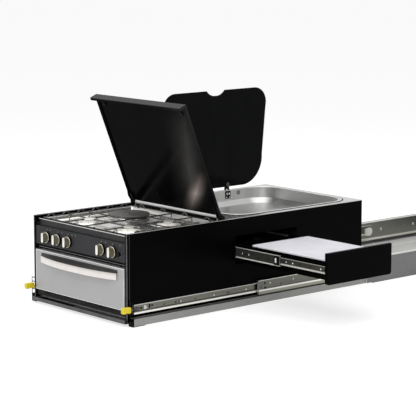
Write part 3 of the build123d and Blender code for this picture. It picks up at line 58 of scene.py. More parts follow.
LID_ANGLE = math.radians(68)
LID_AXIS = Vector((0.0, FRONT + 0.440, 0.322))
LID_ALONG = Vector((0.0, -math.cos(LID_ANGLE), math.sin(LID_ANGLE)))
LID_UNDER = Vector((0.0, -math.sin(LID_ANGLE), -math.cos(LID_ANGLE)))
GLASS_FACE = -0.234
GLASS_HINGES = (FRONT + 0.778, FRONT + 0.896)
CLAMP_LEVEL = 0.341

# Directions in the shared frame
RIGHT, LEFT = (1, 0, 0), (-1, 0, 0)
REARWARD, FORWARD = (0, 1, 0), (0, -1, 0)
UP = (0, 0, 1)
SIDES = ((-1, "left"), (1, "right"))


# ---------------- materials

class Nodes:
    """The node tree of a material or world, with short ways to add nodes to it."""

    def __init__(self, owner, output):
        owner.use_nodes = True
        self.tree = owner.node_tree
        self.tree.nodes.clear()
        self.output = self.add(output)

    def feed(self, socket, value):
        """Links an input to a socket, or sets it to a number, vector or colour."""
        if isinstance(value, bpy.types.NodeSocket):
            self.tree.links.new(value, socket)
        elif socket.type == "RGBA":
            socket.default_value = (*value, 1)
        else:
            socket.default_value = value

    def add(self, kind, inputs=(), **settings):
        """A new node with its settings made and its inputs fed, each by name or number."""
        node = self.tree.nodes.new("ShaderNode" + kind)
        for setting, value in settings.items():
            setattr(node, setting, value)
        for key, value in dict(inputs).items():
            self.feed(node.inputs[key], value)
        return node

    def math(self, operation, first, second=None):
        """A math operation on one or two values, each a number or a socket."""
        values = {0: first} if second is None else {0: first, 1: second}
        return self.add("Math", values, operation=operation).outputs[0]

    def times(self, first, second):
        return self.math("MULTIPLY", first, second)

    def seen_white(self, plain, white):
        """The white shader to the camera and in glossy or clear surfaces, the plain one to all else."""
        rays = self.add("LightPath").outputs
        seen = self.math("MAXIMUM", rays["Is Camera Ray"], rays["Is Glossy Ray"])
        seen = self.math("MAXIMUM", seen, rays["Is Transmission Ray"])
        mix = self.add("MixShader", {0: seen, 1: plain.outputs[0], 2: white.outputs[0]})
        self.feed(self.output.inputs[0], mix.outputs[0])


class Finish(Nodes):
    """A procedural material on the principled shader, laid out in the shared frame's metres."""

    def __init__(self, name):
        self.material = bpy.data.materials.new(name)
        super().__init__(self.material, "OutputMaterial")
        self.shader = self.add("BsdfPrincipled")
        self.feed(self.output.inputs[0], self.shader.outputs[0])

    def places(self, stretch=(1, 1, 1)):
        """Object coordinates, stretched."""
        coords = self.add("TexCoord").outputs["Object"]
        return self.add("Mapping", {"Vector": coords, "Scale": stretch}).outputs[0]

    def noise(self, scale, stretch=(1, 1, 1), detail=4.0, rough=0.55):
        """Fractal noise, about 0.5 in the middle of its range."""
        values = {"Scale": scale, "Detail": detail, "Roughness": rough, "Vector": self.places(stretch)}
        return self.add("TexNoise", values).outputs["Fac"]

    def remap(self, value, low, high, to_low=0.0, to_high=1.0):
        """A value's run from low to high turned into another run, and held at its ends."""
        values = {"Value": value, "From Min": low, "From Max": high, "To Min": to_low, "To Max": to_high}
        return self.add("MapRange", values, clamp=True).outputs["Result"]

    def mix(self, factor, first, second, blend="MIX"):
        """Mixes two colours, each a tuple or a socket."""
        values = {0: factor, 6: first, 7: second}
        return self.add("Mix", values, data_type="RGBA", blend_type=blend).outputs[2]

    def shade(self, colour, factor):
        """A colour, a tuple or a socket, made lighter or darker."""
        if isinstance(colour, tuple):
            return tuple(min(1.0, part * factor) for part in colour)
        return self.mix(1.0, colour, (factor, factor, factor), "MULTIPLY")

    def cloudy(self, tint, cloud, amount):
        """A colour that a noise makes lighter and darker."""
        return self.mix(self.remap(cloud, 0.3, 0.7), self.shade(tint, 1 - amount), self.shade(tint, 1 + amount))

    def component(self, vector, axis):
        """One component of a vector socket."""
        return self.add("SeparateXYZ", {0: vector}).outputs["XYZ".index(axis)]

    def along(self, axis):
        """The place along an axis of the shared frame."""
        return self.component(self.places(), axis)

    def facing(self, axis):
        """1 on faces square to an axis, 0 on those along it."""
        normal = self.add("TexCoord").outputs["Normal"]
        return self.remap(self.math("ABSOLUTE", self.component(normal, axis)), 0.55, 0.8)

    def zone(self, value, low, high, soft=0.0002):
        """1 between two values of a socket, 0 outside them."""
        rise = self.remap(value, low - soft, low + soft)
        return self.times(rise, self.remap(value, high - soft, high + soft, 1.0, 0.0))

    def hill(self, value, middle, half):
        """A soft hill: 1 at the middle, 0 from half away on."""
        away = self.math("ABSOLUTE", self.math("SUBTRACT", value, middle))
        slope = self.remap(away, 0.0, half, 1.0, 0.0)
        return self.times(slope, slope)

    def finished(self, tint, rough, *bumps, metallic=0.0, specular=0.5):
        """The material with its shader fed and its bumps stacked, each (height, strength, distance)."""
        values = {"Base Color": tint, "Roughness": rough, "Metallic": metallic, "Specular IOR Level": specular}
        for height, strength, distance in bumps:
            layer = {"Strength": strength, "Distance": distance, "Height": height}
            if "Normal" in values:
                layer["Normal"] = values["Normal"]
            values["Normal"] = self.add("Bump", layer).outputs["Normal"]
        for name, value in values.items():
            self.feed(self.shader.inputs[name], value)
        return self.material


def coated(name, colour, rough, specular, dust, dust_colour=(0.5, 0.48, 0.45), worn_lit_edges=(), metallic=0.0):
    """Powder coat or enamel: fine orange peel, cloudy gloss, faint dust and hairline scratches, with edge
    bands painted lighter, partly wear and partly a painted highlight. Each edge band is (axis, low, high,
    colour)."""
    mat = Finish(name)
    cloud = mat.noise(7.0, detail=6.0)
    fine = mat.noise(900.0, detail=2.0)
    smear = mat.noise(20.0, (1.0, 0.35, 1.0), detail=5.0)
    scratch = mat.noise(60.0, (1.0, 26.0, 9.0), detail=3.0, rough=0.7)
    tint = mat.mix(mat.remap(cloud, 0.35, 0.65), mat.shade(colour, 0.82), mat.shade(colour, 1.2))
    tint = mat.mix(mat.remap(scratch, 0.70, 0.76, 0.0, dust), tint, dust_colour)
    tint = mat.mix(mat.remap(fine, 0.72, 0.80, 0.0, dust), tint, dust_colour)
    # Each edge band is painted lighter, partly wear and partly a painted highlight, and made metallic so that
    # it shines at a grazing view.
    for axis, low, high, highlight_colour in worn_lit_edges:
        band = mat.zone(mat.along(axis), low, high)
        tint = mat.mix(mat.times(band, mat.remap(smear, 0.25, 0.6, 0.55, 1.0)), tint, highlight_colour)
        metallic = mat.math("MAXIMUM", metallic, band)
    return mat.finished(
        tint, mat.remap(smear, 0.3, 0.7, rough * 0.82, rough * 1.2),
        (mat.noise(260.0, detail=2.0), 0.25, 0.00006), (fine, 0.125, 0.00002),
        metallic=metallic, specular=specular,
    )


def grained(mat, tint, lines, spots, rough, metallic):
    """The material with a grain's gloss and relief."""
    gloss = mat.remap(lines, 0.2, 0.8, rough * 0.75, rough * 1.3)
    return mat.finished(tint, gloss, (lines, 0.25, 0.00004), (spots, 0.15, 0.00003), metallic=metallic)


def brushed(name, colour, rough=0.3, along=RIGHT, grain=0.35, blotch=0.12, metallic=1.0):
    """Brushed or drawn metal: a grain along one axis, blotches and a little grime."""
    mat = Finish(name)
    lines = mat.noise(38.0, tuple(1.5 if part else 55.0 for part in along), detail=6.0, rough=0.7)
    spots = mat.noise(70.0, detail=5.0, rough=0.7)
    tint = mat.cloudy(colour, mat.noise(9.0, detail=5.0), blotch)
    tint = mat.mix(mat.remap(lines, 0.3, 0.7, 0.0, grain), tint, mat.shade(colour, 0.72))
    tint = mat.mix(mat.remap(spots, 0.66, 0.8, 0.0, 0.3), tint, (0.2, 0.19, 0.17))
    return grained(mat, tint, lines, spots, rough, metallic)


def rolled(name, flange, web, across="X", along=REARWARD, bands=(), rough=0.3, metallic=1.0):
    """Roll-formed zinc-plated steel, with its light painted in: flanges in a bright colour as lit faces,
    webs in a darker one as shaded faces, and lighter bands as painted highlights. Each band is (low, high,
    colour) by level."""
    mat = Finish(name)
    lines = mat.noise(34.0, tuple(1.5 if part else 60.0 for part in along), detail=6.0, rough=0.7)
    spots = mat.noise(80.0, detail=5.0, rough=0.7)
    # Web faces take the darker colour and the rest the bright one: painted shade and painted light.
    tint = mat.mix(mat.facing(across), flange, web)
    # Lighter bands by level: painted highlights.
    for low, high, lit_colour in bands:
        tint = mat.mix(mat.zone(mat.along("Z"), low, high), tint, lit_colour)
    tint = mat.cloudy(tint, mat.noise(11.0, tuple(0.35 if part else 1.0 for part in along), detail=5.0), 0.1)
    tint = mat.mix(mat.remap(lines, 0.3, 0.7, 0.0, 0.25), tint, mat.shade(tint, 0.6))
    tint = mat.mix(mat.remap(spots, 0.66, 0.8, 0.0, 0.35), tint, (0.05, 0.045, 0.035))
    return grained(mat, tint, lines, spots, rough, metallic)


def moulded(name, colour, rough=0.45, specular=0.4, variation=0.12):
    """Moulded plastic or rubber: spark-eroded grain and slight shade changes."""
    mat = Finish(name)
    cloud = mat.noise(16.0)
    scuff = mat.noise(90.0, (1.0, 5.0, 1.0), detail=6.0, rough=0.75)
    tint = mat.cloudy(colour, cloud, variation)
    tint = mat.mix(mat.remap(scuff, 0.68, 0.8, 0.0, 0.25), tint, mat.shade(colour, 1.8))
    gloss = mat.remap(cloud, 0.3, 0.7, rough * 0.85, rough * 1.15)
    return mat.finished(tint, gloss, (mat.noise(1400.0, detail=3.0), 0.3, 0.00005), specular=specular)


def turned(name, colour, rough=0.25, metallic=1.0, rings=700.0):
    """Cast or turned metal with a fine sandy grain."""
    mat = Finish(name)
    fine = mat.noise(rings, detail=3.0)
    tint = mat.cloudy(colour, mat.noise(40.0, detail=5.0), 0.1)
    gloss = mat.remap(fine, 0.3, 0.7, rough * 0.8, rough * 1.3)
    return mat.finished(tint, gloss, (fine, 0.2, 0.00004), metallic=metallic)


def two_part(name, axis, limit, low_part, high_part, specular=0.2):
    """A piece in two finishes that meet at a place along an axis: each (colour, metallic, rough)."""
    mat = Finish(name)
    side = mat.remap(mat.along(axis), limit - 0.00005, limit + 0.00005)
    fine = mat.noise(900.0, detail=3.0)
    colours, metals, roughs = zip(low_part, high_part)
    tint = mat.cloudy(mat.mix(side, *colours), mat.noise(30.0, detail=5.0), 0.04)
    gloss = mat.times(mat.remap(side, 0.0, 1.0, *roughs), mat.remap(fine, 0.3, 0.7, 0.85, 1.2))
    metallic = metals[0] if metals[0] == metals[1] else mat.remap(side, 0.0, 1.0, *metals)
    return mat.finished(tint, gloss, (fine, 0.2, 0.00003), metallic=metallic, specular=specular)


def knob_finish(name):
    """A black skirt, a satin champagne body and a grip bar whose front face is painted near-white as a
    highlight, by depth from the panel.
    """
    mat = Finish(name)
    depth = mat.along("Y")
    body = mat.remap(depth, FRONT - 0.0067, FRONT - 0.0063, 1.0, 0.0)
    grip = mat.remap(depth, FRONT - 0.0125, FRONT - 0.0117, 1.0, 0.0)
    # The grip's front face, painted near-white against its darker sides: a painted highlight.
    face = mat.remap(depth, FRONT - 0.0212, FRONT - 0.0206, 1.0, 0.0)
    fine = mat.noise(1100.0, detail=3.0)
    tint = mat.mix(body, (0.004, 0.004, 0.004), (0.20, 0.19, 0.15))
    tint = mat.mix(grip, tint, (0.42, 0.40, 0.33))
    tint = mat.mix(face, tint, (0.86, 0.84, 0.77))
    tint = mat.cloudy(tint, mat.noise(60.0, detail=5.0), 0.08)
    gloss = mat.remap(fine, 0.3, 0.7, 0.22, 0.34)
    return mat.finished(tint, gloss, (fine, 0.2, 0.00003), metallic=body, specular=0.2)


def lid_coat(name):
    """The lid's black coat, with cloudy wiping marks, a paler hem and lighter side edges painted as sheen, and
    a soft band and a pinkish smear painted as reflections.
    """
    mat = Finish(name)
    shift = mat.add("VectorMath", {0: mat.places(), 1: LID_AXIS}, operation="SUBTRACT").outputs[0]
    along = mat.add("VectorMath", {0: shift, 1: LID_ALONG}, operation="DOT_PRODUCT").outputs["Value"]
    across = mat.component(shift, "X")
    wipe = mat.noise(9.0, (1.0, 0.5, 0.5), detail=6.0)
    ragged = mat.remap(wipe, 0.3, 0.7, 0.55, 1.0)
    tint = mat.mix(mat.remap(wipe, 0.35, 0.7), (0.0014, 0.0014, 0.0016), (0.0032, 0.0032, 0.0036))
    # A soft lighter band across the lid: a painted reflection.
    slope = mat.math("SUBTRACT", across, mat.times(along, 0.30))
    painted_reflection_band = mat.times(mat.hill(slope, 0.100, 0.130), mat.remap(along, 0.02, 0.16))
    painted_reflection_band = mat.times(painted_reflection_band, mat.remap(along, 0.20, 0.42, 1.0, 0.30))
    tint = mat.mix(mat.times(painted_reflection_band, ragged), tint, (0.085, 0.083, 0.080))
    # A small pinkish smear near the hem: a painted reflection of the bright worktop.
    lean = mat.math("SUBTRACT", across, mat.times(along, 0.80))
    smear = mat.times(mat.hill(lean, 0.078, 0.060), mat.hill(along, 0.085, 0.110))
    tint = mat.mix(mat.times(smear, ragged), tint, (0.62, 0.52, 0.48))
    # The hem painted paler grey: a painted sheen.
    tint = mat.mix(mat.remap(along, 0.4385, 0.4395), tint, (0.075, 0.075, 0.078))
    # The side edges painted lighter towards the hem: a painted sheen.
    edge = mat.zone(mat.math("ABSOLUTE", across), 0.2484, 0.2520)
    edge = mat.times(edge, mat.remap(along, 0.25, 0.43, 0.25, 1.0))
    return mat.finished(
        mat.mix(edge, tint, (0.030, 0.030, 0.031)), mat.remap(wipe, 0.3, 0.7, 0.12, 0.24),
        (mat.noise(240.0, detail=2.0), 0.12, 0.00005), (mat.noise(900.0, detail=2.0), 0.08, 0.00002),
        specular=0.012,
    )


def smoked_glass(name):
    """Dark tempered glass: nearly opaque, polished, with faint smears and water marks."""
    mat = Finish(name)
    smear = mat.noise(14.0, (1.0, 1.0, 0.4), detail=6.0)
    drops = mat.noise(120.0, detail=2.0)
    tint = mat.mix(mat.remap(smear, 0.3, 0.75), (0.0035, 0.0038, 0.004), (0.006, 0.0062, 0.0065))
    tint = mat.mix(mat.remap(drops, 0.70, 0.78, 0.0, 0.05), tint, (0.4, 0.4, 0.4))
    return mat.finished(tint, mat.remap(smear, 0.3, 0.7, 0.04, 0.13), specular=0.03)


# Colours of the lighter edge bands: wear with a painted highlight on it.
RUBBED_HIGHLIGHT = (0.13, 0.13, 0.13)
FAINT_HIGHLIGHT = (0.05, 0.05, 0.05)
# Bright zinc for flange faces painted as lit and for painted highlight bands.
HIGHLIGHT_ZINC = (0.84, 0.83, 0.78)
ZINC = (0.62, 0.62, 0.60)
BODY = coated(
    "body_black", (0.0014, 0.0014, 0.0017), rough=0.32, specular=0.02, dust=0.01,
    worn_lit_edges=(("Z", 0.3143, 0.3155, RUBBED_HIGHLIGHT), ("Y", FRONT + 0.0100, FRONT + 0.0122, FAINT_HIGHLIGHT)),
)
HOB_BLACK = coated(
    "hob_black", (0.0018, 0.0018, 0.002), rough=0.42, specular=0.0, dust=0.015,
    worn_lit_edges=(("Y", FRONT + 0.0110, FRONT + 0.0124, FAINT_HIGHLIGHT), ("Z", 0.2755, 0.2770, FAINT_HIGHLIGHT)),
)
LID = lid_coat("lid_black")
FRONT_BAR = coated(
    "front_bar_black", (0.014, 0.014, 0.015), rough=0.4, specular=0.12, dust=0.05,
    worn_lit_edges=(("Z", 0.0213, 0.0225, RUBBED_HIGHLIGHT), ("Y", FRONT - 0.0105, FRONT - 0.0096, RUBBED_HIGHLIGHT)),
)
PLINTH = coated("plinth_black", (0.007, 0.007, 0.008), rough=0.4, specular=0.1, dust=0.04)
CRADLE = coated("cradle_black", (0.004, 0.004, 0.0045), rough=0.42, specular=0.10, dust=0.02)
INNER = coated("inner_sheet", (0.008, 0.008, 0.009), rough=0.5, specular=0.1, dust=0.03)
ENAMEL = coated(
    "oven_enamel", (0.012, 0.014, 0.022), rough=0.2, specular=0.5, dust=0.5, dust_colour=(0.25, 0.27, 0.32),
)
SUPPORT = coated("support_enamel", (0.11, 0.11, 0.105), rough=0.2, specular=0.5, dust=0.1, metallic=0.8)
CRADLE_FLOOR = brushed(
    "cradle_floor_zinc", (0.56, 0.56, 0.54), rough=0.5, along=REARWARD, grain=0.12, blotch=0.04, metallic=0.3,
)
STAINLESS = brushed("stainless", (0.70, 0.70, 0.69), rough=0.26, grain=0.15, blotch=0.04)
BOWL = brushed("bowl_stainless", (0.62, 0.62, 0.61), rough=0.34, along=REARWARD, grain=0.14, blotch=0.05)
HOB_STEEL = brushed("hob_stainless", (0.90, 0.88, 0.84), rough=0.2, grain=0.25, blotch=0.1, metallic=0.85)
# Bright steel for the sink rim's painted highlight.
BEAD_HIGHLIGHT = brushed("bead_highlight_steel", (0.95, 0.95, 0.94), rough=0.25, grain=0.05, blotch=0.02, metallic=0.5)
STRIP = brushed("strip_steel", (0.80, 0.80, 0.79), rough=0.35, grain=0.08, blotch=0.03, metallic=0.3)
CASING = brushed("casing_zinc", (0.45, 0.45, 0.44), rough=0.42, along=UP, grain=0.3, blotch=0.2)
DOOR = brushed("door_aluminium", (0.50, 0.50, 0.505), rough=0.5, grain=0.12, blotch=0.03, metallic=0.5)
DOOR_TRIM = brushed("door_trim_bright", (0.80, 0.80, 0.80), rough=0.25, grain=0.1, blotch=0.04)
# All rolled slides, channels and rails below: webs darker than flanges as painted shade, and their bands
# painted highlights.
INNER_SLIDE = rolled(
    "inner_slide_zinc", HIGHLIGHT_ZINC, (0.17, 0.17, 0.145),
    bands=((0.0385, 0.0455, HIGHLIGHT_ZINC), (0.0700, 0.0725, HIGHLIGHT_ZINC)),
)
MIDDLE_SLIDE = rolled(
    "middle_slide_zinc", HIGHLIGHT_ZINC, (0.15, 0.15, 0.13),
    bands=((0.0290, 0.0420, (0.30, 0.30, 0.25)), (0.0420, 0.0480, HIGHLIGHT_ZINC), (0.0795, 0.0820, HIGHLIGHT_ZINC)),
)
OUTER_SLIDE = rolled(
    "outer_slide_zinc", HIGHLIGHT_ZINC, (0.30, 0.30, 0.28),
    bands=((0.0170, 0.0240, HIGHLIGHT_ZINC), (0.0900, 0.0940, HIGHLIGHT_ZINC)),
)
CHANNEL = rolled("channel_zinc", ZINC, (0.31, 0.31, 0.30), rough=0.5)
RAIL = rolled("rail_zinc", ZINC, (0.20, 0.20, 0.20), rough=0.5)
DRAWER_MIDDLE = rolled(
    "drawer_middle_zinc", HIGHLIGHT_ZINC, (0.055, 0.055, 0.050), "Y", RIGHT, metallic=0.3,
    bands=((0.1725, 0.1802, HIGHLIGHT_ZINC), (0.2125, 0.2155, HIGHLIGHT_ZINC)),
)
DRAWER_INNER = rolled(
    "drawer_inner_zinc", HIGHLIGHT_ZINC, (0.065, 0.065, 0.058), "Y", RIGHT, metallic=0.3,
    bands=((0.1810, 0.1862, HIGHLIGHT_ZINC), (0.2045, 0.2070, (0.6, 0.6, 0.52))),
)
DRAWER_OUTER = rolled("drawer_outer_zinc", HIGHLIGHT_ZINC, (0.10, 0.10, 0.09), "Y", RIGHT)
CONTROLS = two_part(
    "controls_enamel", "Z", 0.2143, ((0.0012, 0.0012, 0.0012), 0.0, 0.5), ((0.056, 0.056, 0.060), 0.0, 0.42),
    specular=0.06,
)
# A light metal band below, and a dark web above it that stands in for the shade between handle and door:
# painted shade.
HANDLE = two_part(
    "handle_finish", "Z", 0.1757, ((0.74, 0.70, 0.67), 1.0, 0.3), ((0.045, 0.045, 0.043), 0.3, 0.35),
)
LEVER = two_part(
    "lever_finish", "Y", FRONT + 0.004, ((1.0, 0.80, 0.03), 0.0, 0.35), ((0.09, 0.09, 0.085), 0.6, 0.4),
    specular=0.5,
)
KNOB = knob_finish("knob_finish")
# Wires that lie on edges as painted highlight lines.
FOLD_HIGHLIGHT = turned("fold_highlight_wire", (0.62, 0.62, 0.61), rough=0.3)
EDGE_HIGHLIGHT = turned("edge_highlight_wire", (0.30, 0.30, 0.30), rough=0.35)
KNOB_RING = turned("knob_ring", (0.70, 0.66, 0.52), rough=0.28)
BURNER = turned("burner_aluminium", (0.92, 0.90, 0.85), rough=0.34, metallic=0.4)
BURNER_DARK = turned("burner_port_soot", (0.25, 0.24, 0.22), rough=0.5)
BRASS = turned("valve_brass", (0.62, 0.47, 0.22), rough=0.3)
CHROME = turned("chrome", (0.78, 0.78, 0.78), rough=0.12)
HINGE = turned("hinge_steel", (0.80, 0.80, 0.78), rough=0.26)
CAP = turned("clamp_cap_steel", (0.10, 0.10, 0.10))
RIVET = turned("rivet_steel", (0.55, 0.55, 0.52), rough=0.3)
IRON = turned("hotplate_iron", (0.14, 0.135, 0.13), rough=0.5, metallic=0.35, rings=300.0)
BLACK_PLASTIC = moulded("black_plastic", (0.004, 0.004, 0.004), specular=0.12)
RETAINER = moulded("retainer_plastic", (0.30, 0.30, 0.28), rough=0.4)
RUBBER = moulded("rubber", (0.006, 0.006, 0.006), rough=0.6, specular=0.1)
WHITE_PLASTIC = moulded("white_plastic", (0.84, 0.83, 0.80), rough=0.4)
BOARD = moulded("board_plastic", (0.82, 0.82, 0.87), rough=0.35, specular=0.5, variation=0.03)
PRINT = moulded("pale_print", (0.50, 0.50, 0.50), rough=0.6, variation=0.05)
CERAMIC = moulded("ceramic", (0.8, 0.79, 0.75), rough=0.3, variation=0.03)
SHADOW = moulded("hole_shadow", (0.003, 0.003, 0.003), rough=0.8, specular=0.05)
GLASS = smoked_glass("smoked_glass")


# ---------------- the CAD nodes' finishes and edges

# By node name, less its side or number
finish_of = {
    "cradle_floor": CRADLE_FLOOR, "cradle_rail": RAIL, "cradle_crossmember": CRADLE, "end_bumpers": RUBBER,
    "outer_slide": OUTER_SLIDE, "middle_slide": MIDDLE_SLIDE, "inner_slide": INNER_SLIDE,
    "ball_retainers": RETAINER, "middle_slide_caps": WHITE_PLASTIC, "base_channel": CHANNEL,
    "front_brackets": BODY, "front_feet": RUBBER, "front_bar": FRONT_BAR, "vent_plinth": PLINTH,
    "side_panel": BODY, "rear_panel": INNER, "base_tray": INNER, "bay_bulkheads": INNER,
    "worktop": STAINLESS, "sink_bowl": BOWL, "sink_drain": CHROME, "cooker_casing": CASING,
    "control_panel": CONTROLS, "oven_liner": ENAMEL, "oven_shelf": CHROME, "oven_burner": CASING,
    "hob_frame": HOB_BLACK, "hob_tray": HOB_STEEL, "gas_burners": BURNER, "hotplate": IRON,
    "pan_support": SUPPORT, "gas_manifold": BRASS, "lid_hinge_brackets": HINGE,
    "glass_hinge_blocks": BLACK_PLASTIC, "drawer_outer_slides": DRAWER_OUTER, "hob_lid": LID,
    "lid_knuckles": BLACK_PLASTIC, "glass_lid": GLASS, "glass_clamps": BLACK_PLASTIC, "oven_door": DOOR,
    "door_handle": HANDLE, "knob": KNOB, "igniter_button": BLACK_PLASTIC,
    "drawer_middle_slides": DRAWER_MIDDLE, "drawer_box": BODY, "drawer_front": BODY,
    "drawer_inner_slides": DRAWER_INNER, "prep_board": BOARD, "lock_lever": LEVER,
}
edge_radius = {
    "sink_bowl": 0.0005, "prep_board": 0.0006, "glass_lid": 0.0008, "oven_door": 0.0, "lock_lever": 0.0012,
    "front_feet": 0.0015, "hotplate": 0.0006, "end_bumpers": 0.002, "gas_burners": 0.0003,
}


def soften(obj, width):
    """Rounds an object's sharp edges a little, so that they catch the light."""
    weld = obj.modifiers.new("weld", "WELD")
    weld.merge_threshold = 0.00002
    bevel = obj.modifiers.new("bevel", "BEVEL")
    bevel.width = width
    bevel.segments = 2
    bevel.limit_method = "ANGLE"
    bevel.angle_limit = math.radians(30)
    bevel.use_clamp_overlap = False
    bevel.miter_outer = "MITER_ARC"
    normals = obj.modifiers.new("normals", "WEIGHTED_NORMAL")
    normals.keep_sharp = False
    normals.weight = 80


def dress(obj, material):
    """Gives an object one material in place of what it has."""
    obj.data.materials.clear()
    obj.data.materials.append(material)


for name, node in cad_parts.items():
    kind = name.removesuffix("_left").removesuffix("_right").rstrip("_12345")
    dress(node, finish_of[kind])
    if "custom_normal" in node.data.attributes:
        node.data.attributes.remove(node.data.attributes["custom_normal"])
    for polygon in node.data.polygons:
        polygon.use_smooth = True
    soften(node, edge_radius.get(kind, 0.0004))


# ---------------- helpers for the detail pieces


def mount(name, data, material, body):
    """Puts new mesh or curve data in the scene, dressed and riding on a body."""
    obj = bpy.data.objects.new(name, data)
    bpy.context.scene.collection.objects.link(obj)
    dress(obj, material)
    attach(obj, body)
    return obj


def piece(name, vertices, faces, material, body="kitchen"):
    """A mesh piece with its sharp edges kept."""
    mesh = bpy.data.meshes.new(name)
    mesh.from_pydata([tuple(vertex) for vertex in vertices], [], faces)
    mesh.validate()
    mesh.polygons.foreach_set("use_smooth", [True] * len(mesh.polygons))
    mesh.set_sharp_from_angle(angle=math.radians(35))
    return mount(name, mesh, material, body)


def spun(name, profile, places, axis, material, segments=20, body="kitchen"):
    """Equal turned parts in one mesh: at each place, a profile of (radius, height) pairs in
    millimetres about an axis."""
    along = Vector(axis).normalized()
    across = along.orthogonal().normalized()
    aside = along.cross(across)
    vertices, faces = [], []
    for place in places:
        rings = []
        for radius, height in profile:
            centre = Vector(place) + along * (height / 1000)
            first = len(vertices)
            if radius == 0:
                rings.append([first])
                vertices.append(centre)
                continue
            rings.append(list(range(first, first + segments)))
            for step in range(segments):
                turn = math.tau * step / segments
                spoke = across * math.cos(turn) + aside * math.sin(turn)
                vertices.append(centre + spoke * (radius / 1000))
        for lower, upper in zip(rings, rings[1:]):
            for step in range(segments):
                after = (step + 1) % segments
                if len(lower) == 1:
                    faces.append((lower[0], upper[after], upper[step]))
                elif len(upper) == 1:
                    faces.append((lower[step], lower[after], upper[0]))
                else:
                    faces.append((lower[step], lower[after], upper[after], upper[step]))
    piece(name, vertices, faces, material, body)


def spun_pair(name, profile, places, material, segments=20, body="kitchen", inward=False):
    """Turned parts that face outward, or inward, on the right side, and their mirror images."""
    for label, side in (("right", 1), ("left", -1)):
        mirrored = [(side * x, y, z) for x, y, z in places]
        spun(f"{name}_{label}", profile, mirrored, (-side if inward else side, 0, 0), material, segments, body)


BOX_FACES = ((0, 1, 3, 2), (4, 6, 7, 5), (0, 4, 5, 1), (2, 3, 7, 6), (0, 2, 6, 4), (1, 5, 7, 3))


def blocks(name, boxes, material, round_edges=0.0004, body="kitchen"):
    """Rounded blocks in one mesh, each given by its lowest and highest corners."""
    vertices, faces = [], []
    for low, high in boxes:
        base = len(vertices)
        vertices += [(x, y, z) for x in (low[0], high[0]) for y in (low[1], high[1]) for z in (low[2], high[2])]
        faces += [tuple(base + corner for corner in quad) for quad in BOX_FACES]
    soften(piece(name, vertices, faces, material, body), round_edges)


def rounded(points, radius, steps=5):
    """A path with each of its inner corners rounded off."""
    points = [Vector(point) for point in points]
    path = [points[0]]
    for before, corner, after in zip(points, points[1:], points[2:]):
        start = corner + (before - corner).normalized() * min(radius, (before - corner).length / 2)
        end = corner + (after - corner).normalized() * min(radius, (after - corner).length / 2)
        for step in range(steps + 1):
            share = step / steps
            path.append(start.lerp(corner, share).lerp(corner.lerp(end, share), share))
    return path + [points[-1]]


def ring_path(centre, half_x, half_y, z, corner):
    """A closed level rectangle with rounded corners, as points."""
    x, y = centre
    corners = [(half_x, -half_y), (half_x, half_y), (-half_x, half_y), (-half_x, -half_y)]
    start = (x, y - half_y, z)
    return rounded([start, *((x + right, y + rear, z) for right, rear in corners), start], corner, 8)[:-1]


def upright_ring(half_x, y, low, high, corner):
    """A closed upright rectangle with rounded corners, as points."""
    corners = [(half_x, y, low), (half_x, y, high), (-half_x, y, high), (-half_x, y, low)]
    return rounded([(0.0, y, low), *corners, (0.0, y, low)], corner)[:-1]


def ring_places(centre, radius, count, z, notch=0.0):
    """Places round a circle, with every other one set in by the notch."""
    places = []
    for step in range(count):
        turn = math.tau * step / count
        reach = radius - (0.0 if step % 2 else notch)
        places.append((centre[0] + reach * math.cos(turn), centre[1] + reach * math.sin(turn), z))
    return places


def ring_faces(count, bands):
    """Faces that join closed rings of as many points, each to the next one."""
    faces = []
    for low in range(0, bands * count, count):
        for step in range(count):
            near, after = low + step, low + (step + 1) % count
            faces.append((near, after, after + count, near + count))
    return faces


def wires(name, paths, radius, material, body="kitchen", closed=False):
    """Round wires along paths, in one curve object."""
    curve = bpy.data.curves.new(name, "CURVE")
    curve.dimensions = "3D"
    curve.bevel_depth = radius
    curve.bevel_resolution = 4
    curve.use_fill_caps = True
    for path in paths:
        spline = curve.splines.new("POLY")
        spline.points.add(len(path) - 1)
        for point, place in zip(spline.points, path):
            point.co = (*place, 1)
        spline.use_cyclic_u = closed
        spline.use_smooth = True
    return mount(name, curve, material, body)


def across(half, y, z):
    """A straight path from the left side to the right one."""
    return [(-half, y, z), (half, y, z)]


# ---------------- hob

SUPPORT_HALF_WIDTH = 0.244
SUPPORT_FRONT = FRONT + 0.028
SUPPORT_BACK = FRONT + 0.4287
BRIDGE_Y = FRONT + 0.229
COLUMN_X = -0.008
WIRE = 0.0026
FINGER_REACH = 0.026
TOOTH_RISE = Vector((0, 0, 0.0105))
TOOTH_RUN = 0.016
PORTS = 80
burner_heads = [(x, y, TRAY_LEVEL) for x, y in BURNERS]


def wave(start, end, count):
    """A wire's points between two places, with a row of flat-topped teeth."""
    start, end = Vector(start), Vector(end)
    span = (end - start) / count
    run = span.normalized() * TOOTH_RUN
    points = [start]
    for index in range(count):
        crest = start + span * (index + 0.5)
        points += [crest - run, crest - run * 0.35 + TOOTH_RISE, crest + run * 0.35 + TOOTH_RISE, crest + run]
    return points + [end]


